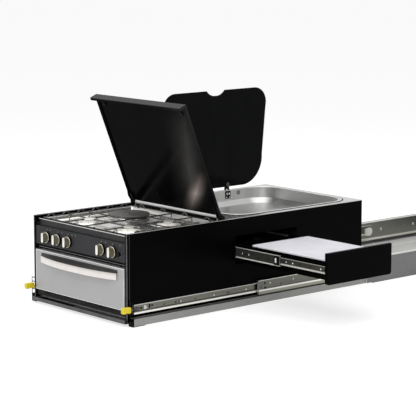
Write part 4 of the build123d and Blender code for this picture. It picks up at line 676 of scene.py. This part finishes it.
def pan_support():
    """The wire frame over the burners, with its teeth, fingers, bridges and rubber feet."""
    z = FRAME_TOP + WIRE
    left, right = -SUPPORT_HALF_WIDTH, SUPPORT_HALF_WIDTH
    paths = [
        across(right, SUPPORT_FRONT, z),
        wave((left, SUPPORT_FRONT, z), (left, SUPPORT_BACK, z), 6),
        wave((left, SUPPORT_BACK, z), (right, SUPPORT_BACK, z), 4),
        wave((right, SUPPORT_FRONT, z), (right, SUPPORT_BACK, z), 6),
        across(right, BRIDGE_Y, z),
        [(COLUMN_X, SUPPORT_FRONT, z), (COLUMN_X, SUPPORT_BACK, z)],
    ]
    for x, y in BURNERS:
        near_x, far_x = (COLUMN_X, right) if x > COLUMN_X else (left, COLUMN_X)
        near_y, far_y = (BRIDGE_Y, SUPPORT_BACK) if y > BRIDGE_Y else (SUPPORT_FRONT, BRIDGE_Y)
        paths += [
            [(near_x, y, z), (x - FINGER_REACH, y, z)], [(far_x, y, z), (x + FINGER_REACH, y, z)],
            [(x, near_y, z), (x, y - FINGER_REACH, z)], [(x, far_y, z), (x, y + FINGER_REACH, z)],
        ]
    obj = wires("pan_support_wires", [rounded(path, 0.005) for path in paths], WIRE, SUPPORT)
    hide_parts("pan_support")
    feet = [(x, SUPPORT_FRONT, FRAME_TOP) for x in (-0.2, -0.06, 0.05, 0.16)]
    feet += [(x, SUPPORT_BACK, FRAME_TOP) for x in (-0.2, 0.2)]
    profile = [(0, 0.1), (5.2, 0.1), (5.6, 1), (5, 4.8), (3.6, 5.8), (0, 6)]
    spun("pan_support_feet", profile, feet, UP, RUBBER)


def burners():
    """The toothed rings of flame ports, and the caps, grooves and electrodes."""
    for number, centre in enumerate(BURNERS, start=1):
        vertices = ring_places(centre, 0.0368, PORTS, TRAY_LEVEL + 0.0032, 0.0014)
        vertices += ring_places(centre, 0.0368, PORTS, TRAY_LEVEL + 0.0074, 0.0014)
        vertices += ring_places(centre, 0.0335, PORTS, TRAY_LEVEL + 0.0082)
        piece(f"burner_crown_{number}", vertices, ring_faces(PORTS, 2), BURNER)
    cap = [(22.5, 8.2), (23.2, 8.8), (23.2, 9.8), (22.2, 10.8), (14, 11.4), (0, 11.5)]
    spun("burner_caps", cap, burner_heads, UP, BURNER, 48)
    groove = [(25.5, 8.3), (26.2, 8.8), (27.2, 8.8), (28, 8.3)]
    spun("burner_grooves", groove, burner_heads, UP, BURNER_DARK, 48)
    electrodes = [(x + 0.034, y - 0.034, z) for x, y, z in burner_heads]
    stem = [(0, 0), (4.2, 0), (4.2, 1.5), (2.8, 2), (2.8, 6), (2, 6.6), (0, 6.6)]
    spun("burner_electrodes", stem, electrodes, UP, CERAMIC, 16)
    spun("burner_electrode_tips", [(0, 6), (0.7, 6), (0.7, 8.5), (0, 8.8)], electrodes, UP, HINGE, 10)


def hotplate():
    """Cast rings on the hotplate and the bright spill ring that it sits in."""
    centre = [(*HOTPLATE, TRAY_LEVEL)]
    rings = [(20.5, 11.8)]
    for radius in (26, 34, 42, 50, 58, 66):
        rings += [(radius, 12.1), (radius + 0.6, 12.6), (radius + 3, 12.6), (radius + 3.6, 12.1)]
    spun("hotplate_rings", rings + [(72.5, 12.1), (73.8, 11.4)], centre, UP, IRON, 96)
    collar = [(64.5, 0.2), (64.5, 3), (66.5, 4.2), (77.5, 4.2), (80, 2.8), (81.2, 0.2)]
    spun("hotplate_spill_ring", collar, centre, UP, CHROME, 96)
    spun("hotplate_centre", [(0, 10.9), (8.5, 10.9), (8.5, 11.6), (7.5, 12), (0, 12)], centre, UP, IRON, 32)


def hob_rims():
    """The rolled steel rim round the hob's tray, a bright wire on its frame's front edge as a painted
    highlight, and a black block at the lid's foot as painted shade.
    """
    rim = ring_path((0.0, FRONT + 0.2284), 0.2425, 0.1990, FRAME_TOP + 0.0004, 0.012)
    wires("hob_tray_rim", [rim], 0.0021, STRIP, closed=True)
    # A bright wire on the frame's front edge: a painted highlight.
    fold = across(FRAME_HALF_WIDTH, FRONT + 0.0142, FRAME_TOP + 0.0004)
    wires("hob_front_edge_highlight", [fold], 0.0017, STRIP)
    well = [(42.5, 0.2), (45, 1.2), (52, 1.6), (60, 2.8), (62.5, 2.8), (66, 0.2)]
    spun("burner_wells", well, burner_heads, UP, HOB_STEEL, 64)
    wires("lid_rod_sleeve", [across(0.2270, *LID_AXIS[1:])], 0.0050, STRIP)
    # A black block over the worktop's front flange, which lies in a dark gap: painted shade.
    rail = ((-0.2520, FRONT + 0.4452, FRAME_TOP - 0.0003), (0.2520, FRONT + 0.4546, 0.3150))
    blocks("hob_rear_shade_block", [rail], RUBBER, 0.0008)


def panel_edges():
    """Thin bright wires on the side panels' folded edges and along the trim rail's lip: painted highlight
    lines.
    """
    x, front, top = HALF_WIDTH - 0.0004, FRONT + 0.0004, 0.3146
    # Each wire on a panel edge is a painted highlight line.
    for side, label in SIDES:
        outer = [(side * x, front, 0.012), (side * x, front, top)]
        inner = [(side * 0.2612, front, 0.012), (side * 0.2612, front, 0.312)]
        wires(f"panel_edge_highlight_{label}", [outer, inner], 0.0006, EDGE_HIGHLIGHT)
        fold = [(side * x, y, top + 0.0005) for y in (front, BACK - 0.001)]
        wires(f"panel_top_fold_highlight_{label}", [fold], 0.0008, FOLD_HIGHLIGHT)
    # A bright wire along the trim rail's lip: a painted highlight line.
    wires("trim_rail_highlight", [across(FRAME_HALF_WIDTH, FRONT + 0.0086, 0.2055)], 0.0011, EDGE_HIGHLIGHT)


pan_support()
burners()
hotplate()
hob_rims()
panel_edges()


# ---------------- controls and door

MARK_LEVEL = 0.2718
MARK_PLACES = (-0.188, -0.168, -0.126, -0.100, -0.065, -0.0415, -0.022, 0.124, 0.148, 0.186, 0.2265)
KNOB_RING_BACK = FRONT - 0.0065
KNOB_TIP = FRONT - 0.0215


def controls():
    """Knob rings, index lines, generic marks and the igniter's bezel."""
    ring = [(18.1, 0), (19.4, 0), (19.8, 0.6), (19.4, 1.4), (18.6, 1.8), (18.1, 1.6)]
    for number, x in enumerate(KNOB_PLACES, start=1):
        body = f"knob_{number}"
        spun(f"{body}_ring", ring, [(x, KNOB_RING_BACK, KNOB_LEVEL)], FORWARD, KNOB_RING, 48, body)
        low = (x - 0.0007, KNOB_TIP - 0.0003, KNOB_LEVEL + 0.004)
        high = (x + 0.0007, KNOB_TIP + 0.0004, KNOB_LEVEL + 0.0155)
        blocks(f"{body}_index", [(low, high)], PRINT, 0.0001, body)
    marks = []
    for x in MARK_PLACES:
        low = (x - 0.0022, CONTROLS_FACE - 0.0002, MARK_LEVEL - 0.0009)
        marks.append((low, (x + 0.0022, CONTROLS_FACE + 0.0002, MARK_LEVEL + 0.0009)))
    blocks("panel_marks", marks, PRINT, 0.00005)
    bezel = [(9, 0), (11.8, 0), (11.8, 0.8), (11, 1.6), (9.4, 1.6), (9, 1)]
    x, z = IGNITER_PLACE
    spun("igniter_bezel", bezel, [(x, CONTROLS_FACE, z)], FORWARD, CAP, 40)


def door():
    """Bright edges round the door's face, and its inner skin with a gasket and screws."""
    x, low, high, edge = 0.2512, 0.0518, 0.1952, 0.0024
    near, far = DOOR_FACE - 0.0004, DOOR_FACE + 0.001
    edges = [
        ((-x, near, low), (-x + edge, far, high)),
        ((x - edge, near, low), (x, far, high)),
        ((-x + edge, near, high - edge), (x - edge, far, high)),
        ((-x + edge, near, low), (x - edge, far, low + edge * 0.7)),
    ]
    blocks("door_edge_trim", edges, DOOR_TRIM, 0.0003, "oven_door")
    skin_back = DOOR_FACE + 0.0125
    skin = ((-0.2455, DOOR_FACE + 0.008, 0.0675), (0.2455, skin_back, 0.1900))
    blocks("door_inner_skin", [skin], ENAMEL, 0.002, "oven_door")
    gasket = upright_ring(0.222, skin_back + 0.0003, 0.074, 0.184, 0.012)
    wires("door_gasket", [gasket], 0.0022, RUBBER, "oven_door", closed=True)
    screw = [(4.2, 0), (4.2, 0.6), (3.4, 1.4), (1.6, 1.8), (1.4, 0.9), (0, 0.9)]
    places = [(x, skin_back, z) for x in (-0.235, 0.235) for z in (0.08, 0.178)]
    spun("door_skin_screws", screw, places, REARWARD, HINGE, body="oven_door")


HANDLE_HALF = 0.216
HANDLE_FOOT = 0.0050
HANDLE_REACH = 0.0320
HANDLE_LOW = 0.1525
HANDLE_HIGH = 0.1757
HANDLE_ROOT = 0.1872
HANDLE_STEPS = 56
HANDLE_BOW = 2.4


def handle():
    """The bowed sheet handle: an upright band, and a web that slopes up from it to the door, dark as painted
    shade in the gap behind the band.
    """
    vertices = []
    root = DOOR_FACE + 0.0003
    for step in range(HANDLE_STEPS + 1):
        x = -HANDLE_HALF + 2 * HANDLE_HALF * step / HANDLE_STEPS
        bow = 1 - (abs(x) / HANDLE_HALF) ** HANDLE_BOW
        y = DOOR_FACE - HANDLE_FOOT - (HANDLE_REACH - HANDLE_FOOT) * bow
        section = (
            (y + 0.0004, HANDLE_LOW), (y, HANDLE_LOW + 0.0006), (y, HANDLE_HIGH - 0.0012),
            (y + 0.0004, HANDLE_HIGH - 0.0003), (y + 0.0012, HANDLE_HIGH + 0.0003), (root, HANDLE_ROOT),
            (root, HANDLE_ROOT - 0.0020), (y + 0.0022, HANDLE_HIGH - 0.0018),
            (y + 0.0020, HANDLE_LOW + 0.0006), (y + 0.0016, HANDLE_LOW),
        )
        vertices += [(x, *point) for point in section]
    count = len(section)
    faces = ring_faces(count, HANDLE_STEPS)
    faces.append(tuple(range(count)))
    faces.append(tuple(range(len(vertices) - 1, len(vertices) - count - 1, -1)))
    obj = piece("handle_bow", vertices, faces, HANDLE, "oven_door")
    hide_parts("door_handle")
    ends = []
    for side, _ in SIDES:
        low_x, high_x = sorted((side * HANDLE_HALF, side * (HANDLE_HALF - 0.0016)))
        ends.append(((low_x, DOOR_FACE - HANDLE_FOOT, HANDLE_LOW), (high_x, root, HANDLE_HIGH + 0.0004)))
    blocks("handle_ends", ends, HANDLE, 0.0003, "oven_door")
    seam = across(HANDLE_HALF, DOOR_FACE - 0.0001, HANDLE_ROOT + 0.0002)
    wires("handle_root_bead", [seam], 0.0006, DOOR_TRIM, "oven_door")
    screw = [(3.4, 0), (3.4, 0.6), (2.6, 1.3), (1.2, 1.4), (1, 0.7), (0, 0.7)]
    places = across(HANDLE_HALF - 0.008, DOOR_FACE, HANDLE_LOW + 0.010)
    spun("handle_screws", screw, places, FORWARD, RIVET, body="oven_door")


controls()
door()
handle()


# ---------------- lids

EAR_INNER = 0.2472
EAR_OUTER = 0.2512
EAR_OUTLINE = (
    (-0.0065, 0.0035), (-0.0065, -0.0035), (0.0, -0.0070), (0.012, -0.0015), (0.046, 0.0022),
    (0.046, 0.0098), (0.030, 0.0125), (0.008, 0.0080), (0.0, 0.0072),
)


def lid_point(x, along, under):
    """A place in the hob lid's own frame."""
    return LID_AXIS + Vector((x, 0, 0)) + LID_ALONG * along + LID_UNDER * under


def hob_lid():
    """Moulded hinge ears at the lid's corners, their bosses, and bumpers under its hem."""
    boss = [(0, 0), (7.8, 0), (8.2, 1), (7.8, 3.2), (6, 4.2), (3, 4.5), (2.6, 3.5), (0, 3.5)]
    bush = [(0, 0), (6.8, 0), (6.8, 9.8), (5.8, 10.8), (0, 10.8)]
    count = len(EAR_OUTLINE)
    faces = [tuple(range(count)), tuple(range(2 * count - 1, count - 1, -1))]
    for step in range(count):
        after = (step + 1) % count
        faces.append((step, count + step, count + after, after))
    for side, label in SIDES:
        vertices = [lid_point(side * x, *point) for x in (EAR_INNER, EAR_OUTER) for point in EAR_OUTLINE]
        soften(piece(f"lid_ear_{label}", vertices, faces, BLACK_PLASTIC, "hob_lid"), 0.0012)
    spun_pair("lid_boss", boss, [lid_point(EAR_OUTER, 0, 0)], BLACK_PLASTIC, 32, "hob_lid")
    spun_pair("lid_bush", bush, [lid_point(EAR_INNER, 0, 0)], BLACK_PLASTIC, 32, "hob_lid", inward=True)
    pad = [(7.5, 0), (7.5, 2), (6.5, 4.2), (4, 5), (0, 5.1)]
    places = [lid_point(side * 0.215, 0.405, 0.002) for side, _ in SIDES]
    spun("lid_bumpers", pad, places, LID_UNDER, RUBBER, 24, "hob_lid")


def glass_lid():
    """Screw caps on the clamps, and the windows and screws of the hinge leaves."""
    cap = [(8.7, 0), (8.7, 0.8), (8, 1.5), (6.8, 1.5), (6.2, 0.6), (3, 0.5), (2.6, 1.1), (0, 1.2)]
    outer = [(GLASS_FACE + 0.003, y, CLAMP_LEVEL) for y in GLASS_HINGES]
    spun("clamp_caps", cap, outer, RIGHT, CAP, 32, "glass_lid")
    inner = [(GLASS_FACE - 0.008, y, CLAMP_LEVEL) for y in GLASS_HINGES]
    spun("clamp_nuts", cap, inner, LEFT, HINGE, 6, "glass_lid")
    windows = []
    for y in GLASS_HINGES:
        for middle in (y - 0.0055, y + 0.0055):
            windows.append(((-0.2301, middle - 0.0028, 0.3000), (-0.2294, middle + 0.0028, 0.3090)))
    blocks("hinge_leaf_windows", windows, CHROME, 0.0003)
    screws = [(-0.230, y + shift, 0.2905) for y in GLASS_HINGES for shift in (-0.008, 0.008)]
    spun("hinge_leaf_screws", [(2.6, 0), (2.6, 0.6), (1.8, 1.1), (0, 1.2)], screws, RIGHT, HINGE, 16)


hob_lid()
glass_lid()


# ---------------- sink

def sink():
    """The drain's strainer with its holes, and the overflow in the bowl's wall."""
    centre = [(*DRAIN, BOWL_FLOOR)]
    lip = [(19, 0.6), (20, 1.6), (29, 2), (32.5, 1.6), (33.8, 0.3)]
    spun("drain_lip", lip, centre, UP, CHROME, 64)
    basket = [(18.6, -2), (18, -8.5), (15, -11.2), (4, -11.8), (3.6, -6), (0, -5.6)]
    spun("drain_basket", basket, centre, UP, CHROME, 48)
    hole_level = BOWL_FLOOR - 0.0117
    holes = ring_places(DRAIN, 0.0065, 6, hole_level) + ring_places(DRAIN, 0.0110, 10, hole_level)
    spun("drain_basket_holes", [(1.4, 0), (1.4, 0.6), (0, 0.6)], holes, UP, SHADOW, 10)
    flange = [(5.8, 0.2), (6.2, 0.9), (8, 0.9), (8.6, 0.2)]
    spun("overflow_ring", flange, [OVERFLOW], RIGHT, CAP, 40)
    slots = []
    x, y, level = OVERFLOW
    for z, half in ((level - 0.0033, 0.0042), (level, 0.0052), (level + 0.0033, 0.0042)):
        slots.append(((x + 0.0001, y - half, z - 0.0007), (x + 0.0005, y + half, z + 0.0007)))
    blocks("overflow_slots", slots, SHADOW, 0.0001)


def bowl_rim():
    """A bead on the bowl's raised rim, in steel much brighter than the bowl as a painted highlight, and a dark
    wire outside it as a painted shadow line under the rim.
    """
    # Bright steel wire on the rim's crest: a painted highlight.
    bead = ring_path(BOWL_MIDDLE, 0.2366, 0.2876, 0.3163, 0.0946)
    wires("bowl_rim_highlight_bead", [bead], 0.0030, BEAD_HIGHLIGHT, closed=True)
    # Dark wire round the rim's foot: a painted shadow line.
    rim_shadow = ring_path(BOWL_MIDDLE, 0.2420, 0.2930, 0.3167, 0.100)
    wires("bowl_rim_shadow_line", [rim_shadow], 0.0017, SHADOW, closed=True)


sink()
bowl_rim()


# ---------------- slides, drawer and cradle

INNER_WEB = HALF_WIDTH + 0.002
MIDDLE_WEB = 0.2755
OUTER_WEB = 0.2835
MIDDLE_FRONT = -1.140
CRADLE_FRONT = -0.575
RIVET_PITCH = 0.152
MIDDLE_RIVET_PITCH = 0.115
SCREW_PITCH = 0.2
BALL_PITCH = 0.0125
BALLS_IN_ROW = 24
RIVET_HEAD = ((3.4, 0), (3.4, 0.4), (2.9, 1.1), (1.6, 1.5), (0, 1.6))


def ball_rows(name, start, x, lift):
    """The balls in the upper and lower tracks of both slides."""
    ball = [(0, -3.2), (1.6, -2.8), (2.8, -1.6), (3.2, 0), (2.8, 1.6), (1.6, 2.8), (0, 3.2)]
    places = []
    for side, _ in SIDES:
        for z in (SLIDE_AXIS + lift, SLIDE_AXIS - lift):
            places += [(side * x, start + BALL_PITCH * index, z) for index in range(BALLS_IN_ROW)]
    spun(name, ball, places, RIGHT, CHROME, 12, "middle_slides")


def main_slides():
    """Rivets, holes, balls and screws on the main slides."""
    rivets = [(INNER_WEB, FRONT + 0.083 + RIVET_PITCH * index, SLIDE_AXIS) for index in range(7)]
    spun_pair("inner_member_rivets", RIVET_HEAD, rivets, RIVET)
    holes = [(INNER_WEB, FRONT + y, SLIDE_AXIS) for y in (0.160, 0.212, 0.300, 0.450, 0.610, 0.760)]
    spun_pair("inner_member_holes", [(2.8, 0), (2.8, 0.3), (0, 0.3)], holes, SHADOW)
    ball_rows("middle_ball_rows", MIDDLE_FRONT + 0.040, 0.2722, 0.0203)
    ball_rows("outer_ball_rows", CRADLE_FRONT + 0.040, 0.2770, 0.0308)
    pins = [(MIDDLE_WEB, MIDDLE_FRONT + y, SLIDE_AXIS + z) for y, z in ((0.0345, 0.0125), (0.0370, -0.0050))]
    pin = [(4, -0.2), (4, 0.3), (3, 0.5), (0, 0.6)]
    spun_pair("end_piece_pins", pin, pins, SHADOW, 16, "middle_slides")
    first = MIDDLE_FRONT + 0.060
    rivets = [(MIDDLE_WEB, first + MIDDLE_RIVET_PITCH * index, SLIDE_AXIS + 0.010) for index in range(9)]
    spun_pair("middle_member_rivets", RIVET_HEAD, rivets, RIVET, body="middle_slides")
    screws = [(OUTER_WEB, CRADLE_FRONT + 0.06 + SCREW_PITCH * index, SLIDE_AXIS) for index in range(6)]
    pan = [(5.2, 0), (5.2, 0.8), (4, 1.7), (1.6, 1.9), (1.4, 0.8), (0, 0.8)]
    spun_pair("outer_member_screws", pan, screws, CHROME, body="cradle", inward=True)


def slide_ends():
    """What shows at the slides' front ends: lever pivots, latch plates, and the rails' noses."""
    pivot = [(4.6, 0), (4.6, 0.5), (3.6, 0.9), (1.5, 1), (1.3, 0.5), (0, 0.5)]
    spun_pair("lever_pivot", pivot, [(0.2718, FRONT + 0.040, SLIDE_AXIS)], CAP, 24)
    places = ((0.059, 0.0570), (0.096, 0.0620), (0.096, 0.0560), (0.107, 0.0600))
    slots = [(INNER_WEB, FRONT + y, z) for y, z in places]
    spun_pair("latch_plate_slots", [(3.8, 0), (3.8, 0.3), (0, 0.3)], slots, SHADOW)
    for side, label in SIDES:
        near, far = sorted((side * INNER_WEB, side * (INNER_WEB + 0.0006)))
        plate = ((near, FRONT + 0.0710, 0.0500), (far, FRONT + 0.0810, 0.0640))
        blocks(f"latch_plate_{label}", [plate], RIVET, 0.0002)
        low_x, high_x = sorted((side * 0.2928, side * 0.2974))
        nose = ((low_x, CRADLE_FRONT - 0.0262, 0.0030), (high_x, CRADLE_FRONT + 0.0002, 0.0936))
        blocks(f"rail_nose_{label}", [nose], RAIL, 0.0006, "cradle")


def drawer():
    """Rivets, holes and the end stop on the drawer's slides."""
    level = 0.194
    middle, inner = FRONT + 0.4937, FRONT + 0.5000
    head = [(3, 0), (3, 0.4), (2.5, 1), (1.4, 1.4), (0, 1.5)]
    hole = [(2.6, 0), (2.6, 0.3), (0, 0.3)]
    rivets = [(x, middle, level) for x in (0.295, 0.329)]
    spun("drawer_middle_rivets", head, rivets, FORWARD, CHROME, body="drawer_middle")
    rivets = [(x, inner, level) for x in (0.512, 0.544, 0.680)]
    spun("drawer_inner_rivets", head, rivets, FORWARD, CHROME, body="drawer")
    holes = [(x, middle, level + z) for x, z in ((0.310, 0.0), (0.350, 0.006), (0.380, -0.006), (0.430, 0.0))]
    spun("drawer_middle_holes", hole, holes, FORWARD, SHADOW, body="drawer_middle")
    holes = [(x, inner, level) for x in (0.500, 0.580, 0.630, 0.700)]
    spun("drawer_inner_holes", hole, holes, FORWARD, SHADOW, body="drawer")
    stop = ((0.4600, middle - 0.0022, level - 0.0155), (0.4862, middle + 0.0001, level + 0.0155))
    blocks("drawer_end_stop", [stop], BLACK_PLASTIC, 0.0008, "drawer_middle")
    latch = ((0.4650, middle - 0.0027, level - 0.0075), (0.4730, middle - 0.0015, level + 0.0085))
    blocks("drawer_end_latch", [latch], WHITE_PLASTIC, 0.0005, "drawer_middle")


def feet_and_back():
    """Ribs on the feet, the rear opening's grommet, and the screws of the rear panel and the floor."""
    rib_front = FRONT + 0.0045
    ribs = []
    for side, _ in SIDES:
        for step in range(4):
            x = side * (0.2695 + 0.0052 * step)
            ribs.append(((x - 0.0012, rib_front - 0.0006, 0.003), (x + 0.0012, rib_front + 0.0006, 0.0165)))
    blocks("foot_ribs", ribs, RUBBER)
    grommet = upright_ring(0.070, BACK - 0.0021, 0.115, 0.185, 0.005)
    wires("service_grommet", [grommet], 0.0020, RUBBER, closed=True)
    screws = [(x, BACK - 0.002, z) for x in (-0.245, -0.12, 0.0, 0.12, 0.245) for z in (0.024, 0.300)]
    head = [(4, 0), (4, 0.6), (3.2, 1.3), (1.4, 1.5), (1.2, 0.7), (0, 0.7)]
    spun("rear_panel_screws", head, screws, REARWARD, HINGE)
    floor_screws = [(x, y, 0.0065) for x in (-0.24, 0.24) for y in (-0.5, 0.0, 0.5)]
    spun("cradle_floor_screws", head, floor_screws, UP, HINGE, body="cradle")


main_slides()
slide_ends()
drawer()
feet_and_back()


# ---------------- stage and camera

FLOOR_REACH = 60.0
FLOOR_LEVEL = -0.0002
FLOOR_COLOUR = (0.72, 0.72, 0.72)
FLOOR_SEEN = (0.5, 0.5, 0.5)
FLOOR_GLOW = 0.70
WORLD_LIGHT = 0.62
CAMERA_PLACE = (4.919967, -5.42903, 1.368282)
CAMERA_TURN = (math.radians(90 - 9.209), 0, math.radians(48.886))
CAMERA_LENS = 156.386


def lay_floor():
    """A wide pale floor, white where it is seen and plain to the light that bounces off it."""
    mesh = bpy.data.meshes.new("floor")
    corners = ((-1, -1), (1, -1), (1, 1), (-1, 1))
    mesh.from_pydata([(x * FLOOR_REACH, y * FLOOR_REACH, 0) for x, y in corners], [], [(0, 1, 2, 3)])
    floor = bpy.data.objects.new("floor", mesh)
    bpy.context.scene.collection.objects.link(floor)
    floor.location.z = FLOOR_LEVEL
    material = bpy.data.materials.new("floor")
    nodes = Nodes(material, "OutputMaterial")
    plain = nodes.add("BsdfDiffuse", {"Color": FLOOR_COLOUR})
    lit = nodes.add("BsdfDiffuse", {"Color": FLOOR_SEEN})
    glow = nodes.add("Emission", {"Strength": FLOOR_GLOW})
    nodes.seen_white(plain, nodes.add("AddShader", {0: lit.outputs[0], 1: glow.outputs[0]}))
    dress(floor, material)


def studio():
    """An even world light, white where it is seen itself."""
    world = bpy.data.worlds.new("studio")
    bpy.context.scene.world = world
    nodes = Nodes(world, "OutputWorld")
    light = nodes.add("Background", {"Strength": WORLD_LIGHT})
    nodes.seen_white(light, nodes.add("Background", {"Strength": 1.0}))


def area_light(name, place, target, size, power):
    """A square lamp that faces a target."""
    data = bpy.data.lights.new(name, "AREA")
    data.shape = "RECTANGLE"
    data.size = data.size_y = size
    data.energy = power
    lamp = bpy.data.objects.new(name, data)
    bpy.context.scene.collection.objects.link(lamp)
    lamp.location = place
    lamp.rotation_euler = (Vector(target) - Vector(place)).to_track_quat("-Z", "Y").to_euler()


lay_floor()
studio()
area_light("key", (2.2, -4.2, 3.2), (0, -1.0, 0.2), 2.6, 66)
area_light("top", (-0.5, -0.8, 3.6), (0, -0.8, 0.2), 3.4, 56)

camera_data = bpy.data.cameras.new("camera")
camera_data.sensor_width = 36.0
camera_data.lens = CAMERA_LENS
camera_data.clip_end = 200.0
camera = bpy.data.objects.new("camera", camera_data)
bpy.context.scene.collection.objects.link(camera)
camera.location = CAMERA_PLACE
camera.rotation_euler = CAMERA_TURN
bpy.context.scene.camera = camera
bpy.context.scene.view_settings.view_transform = "Standard"
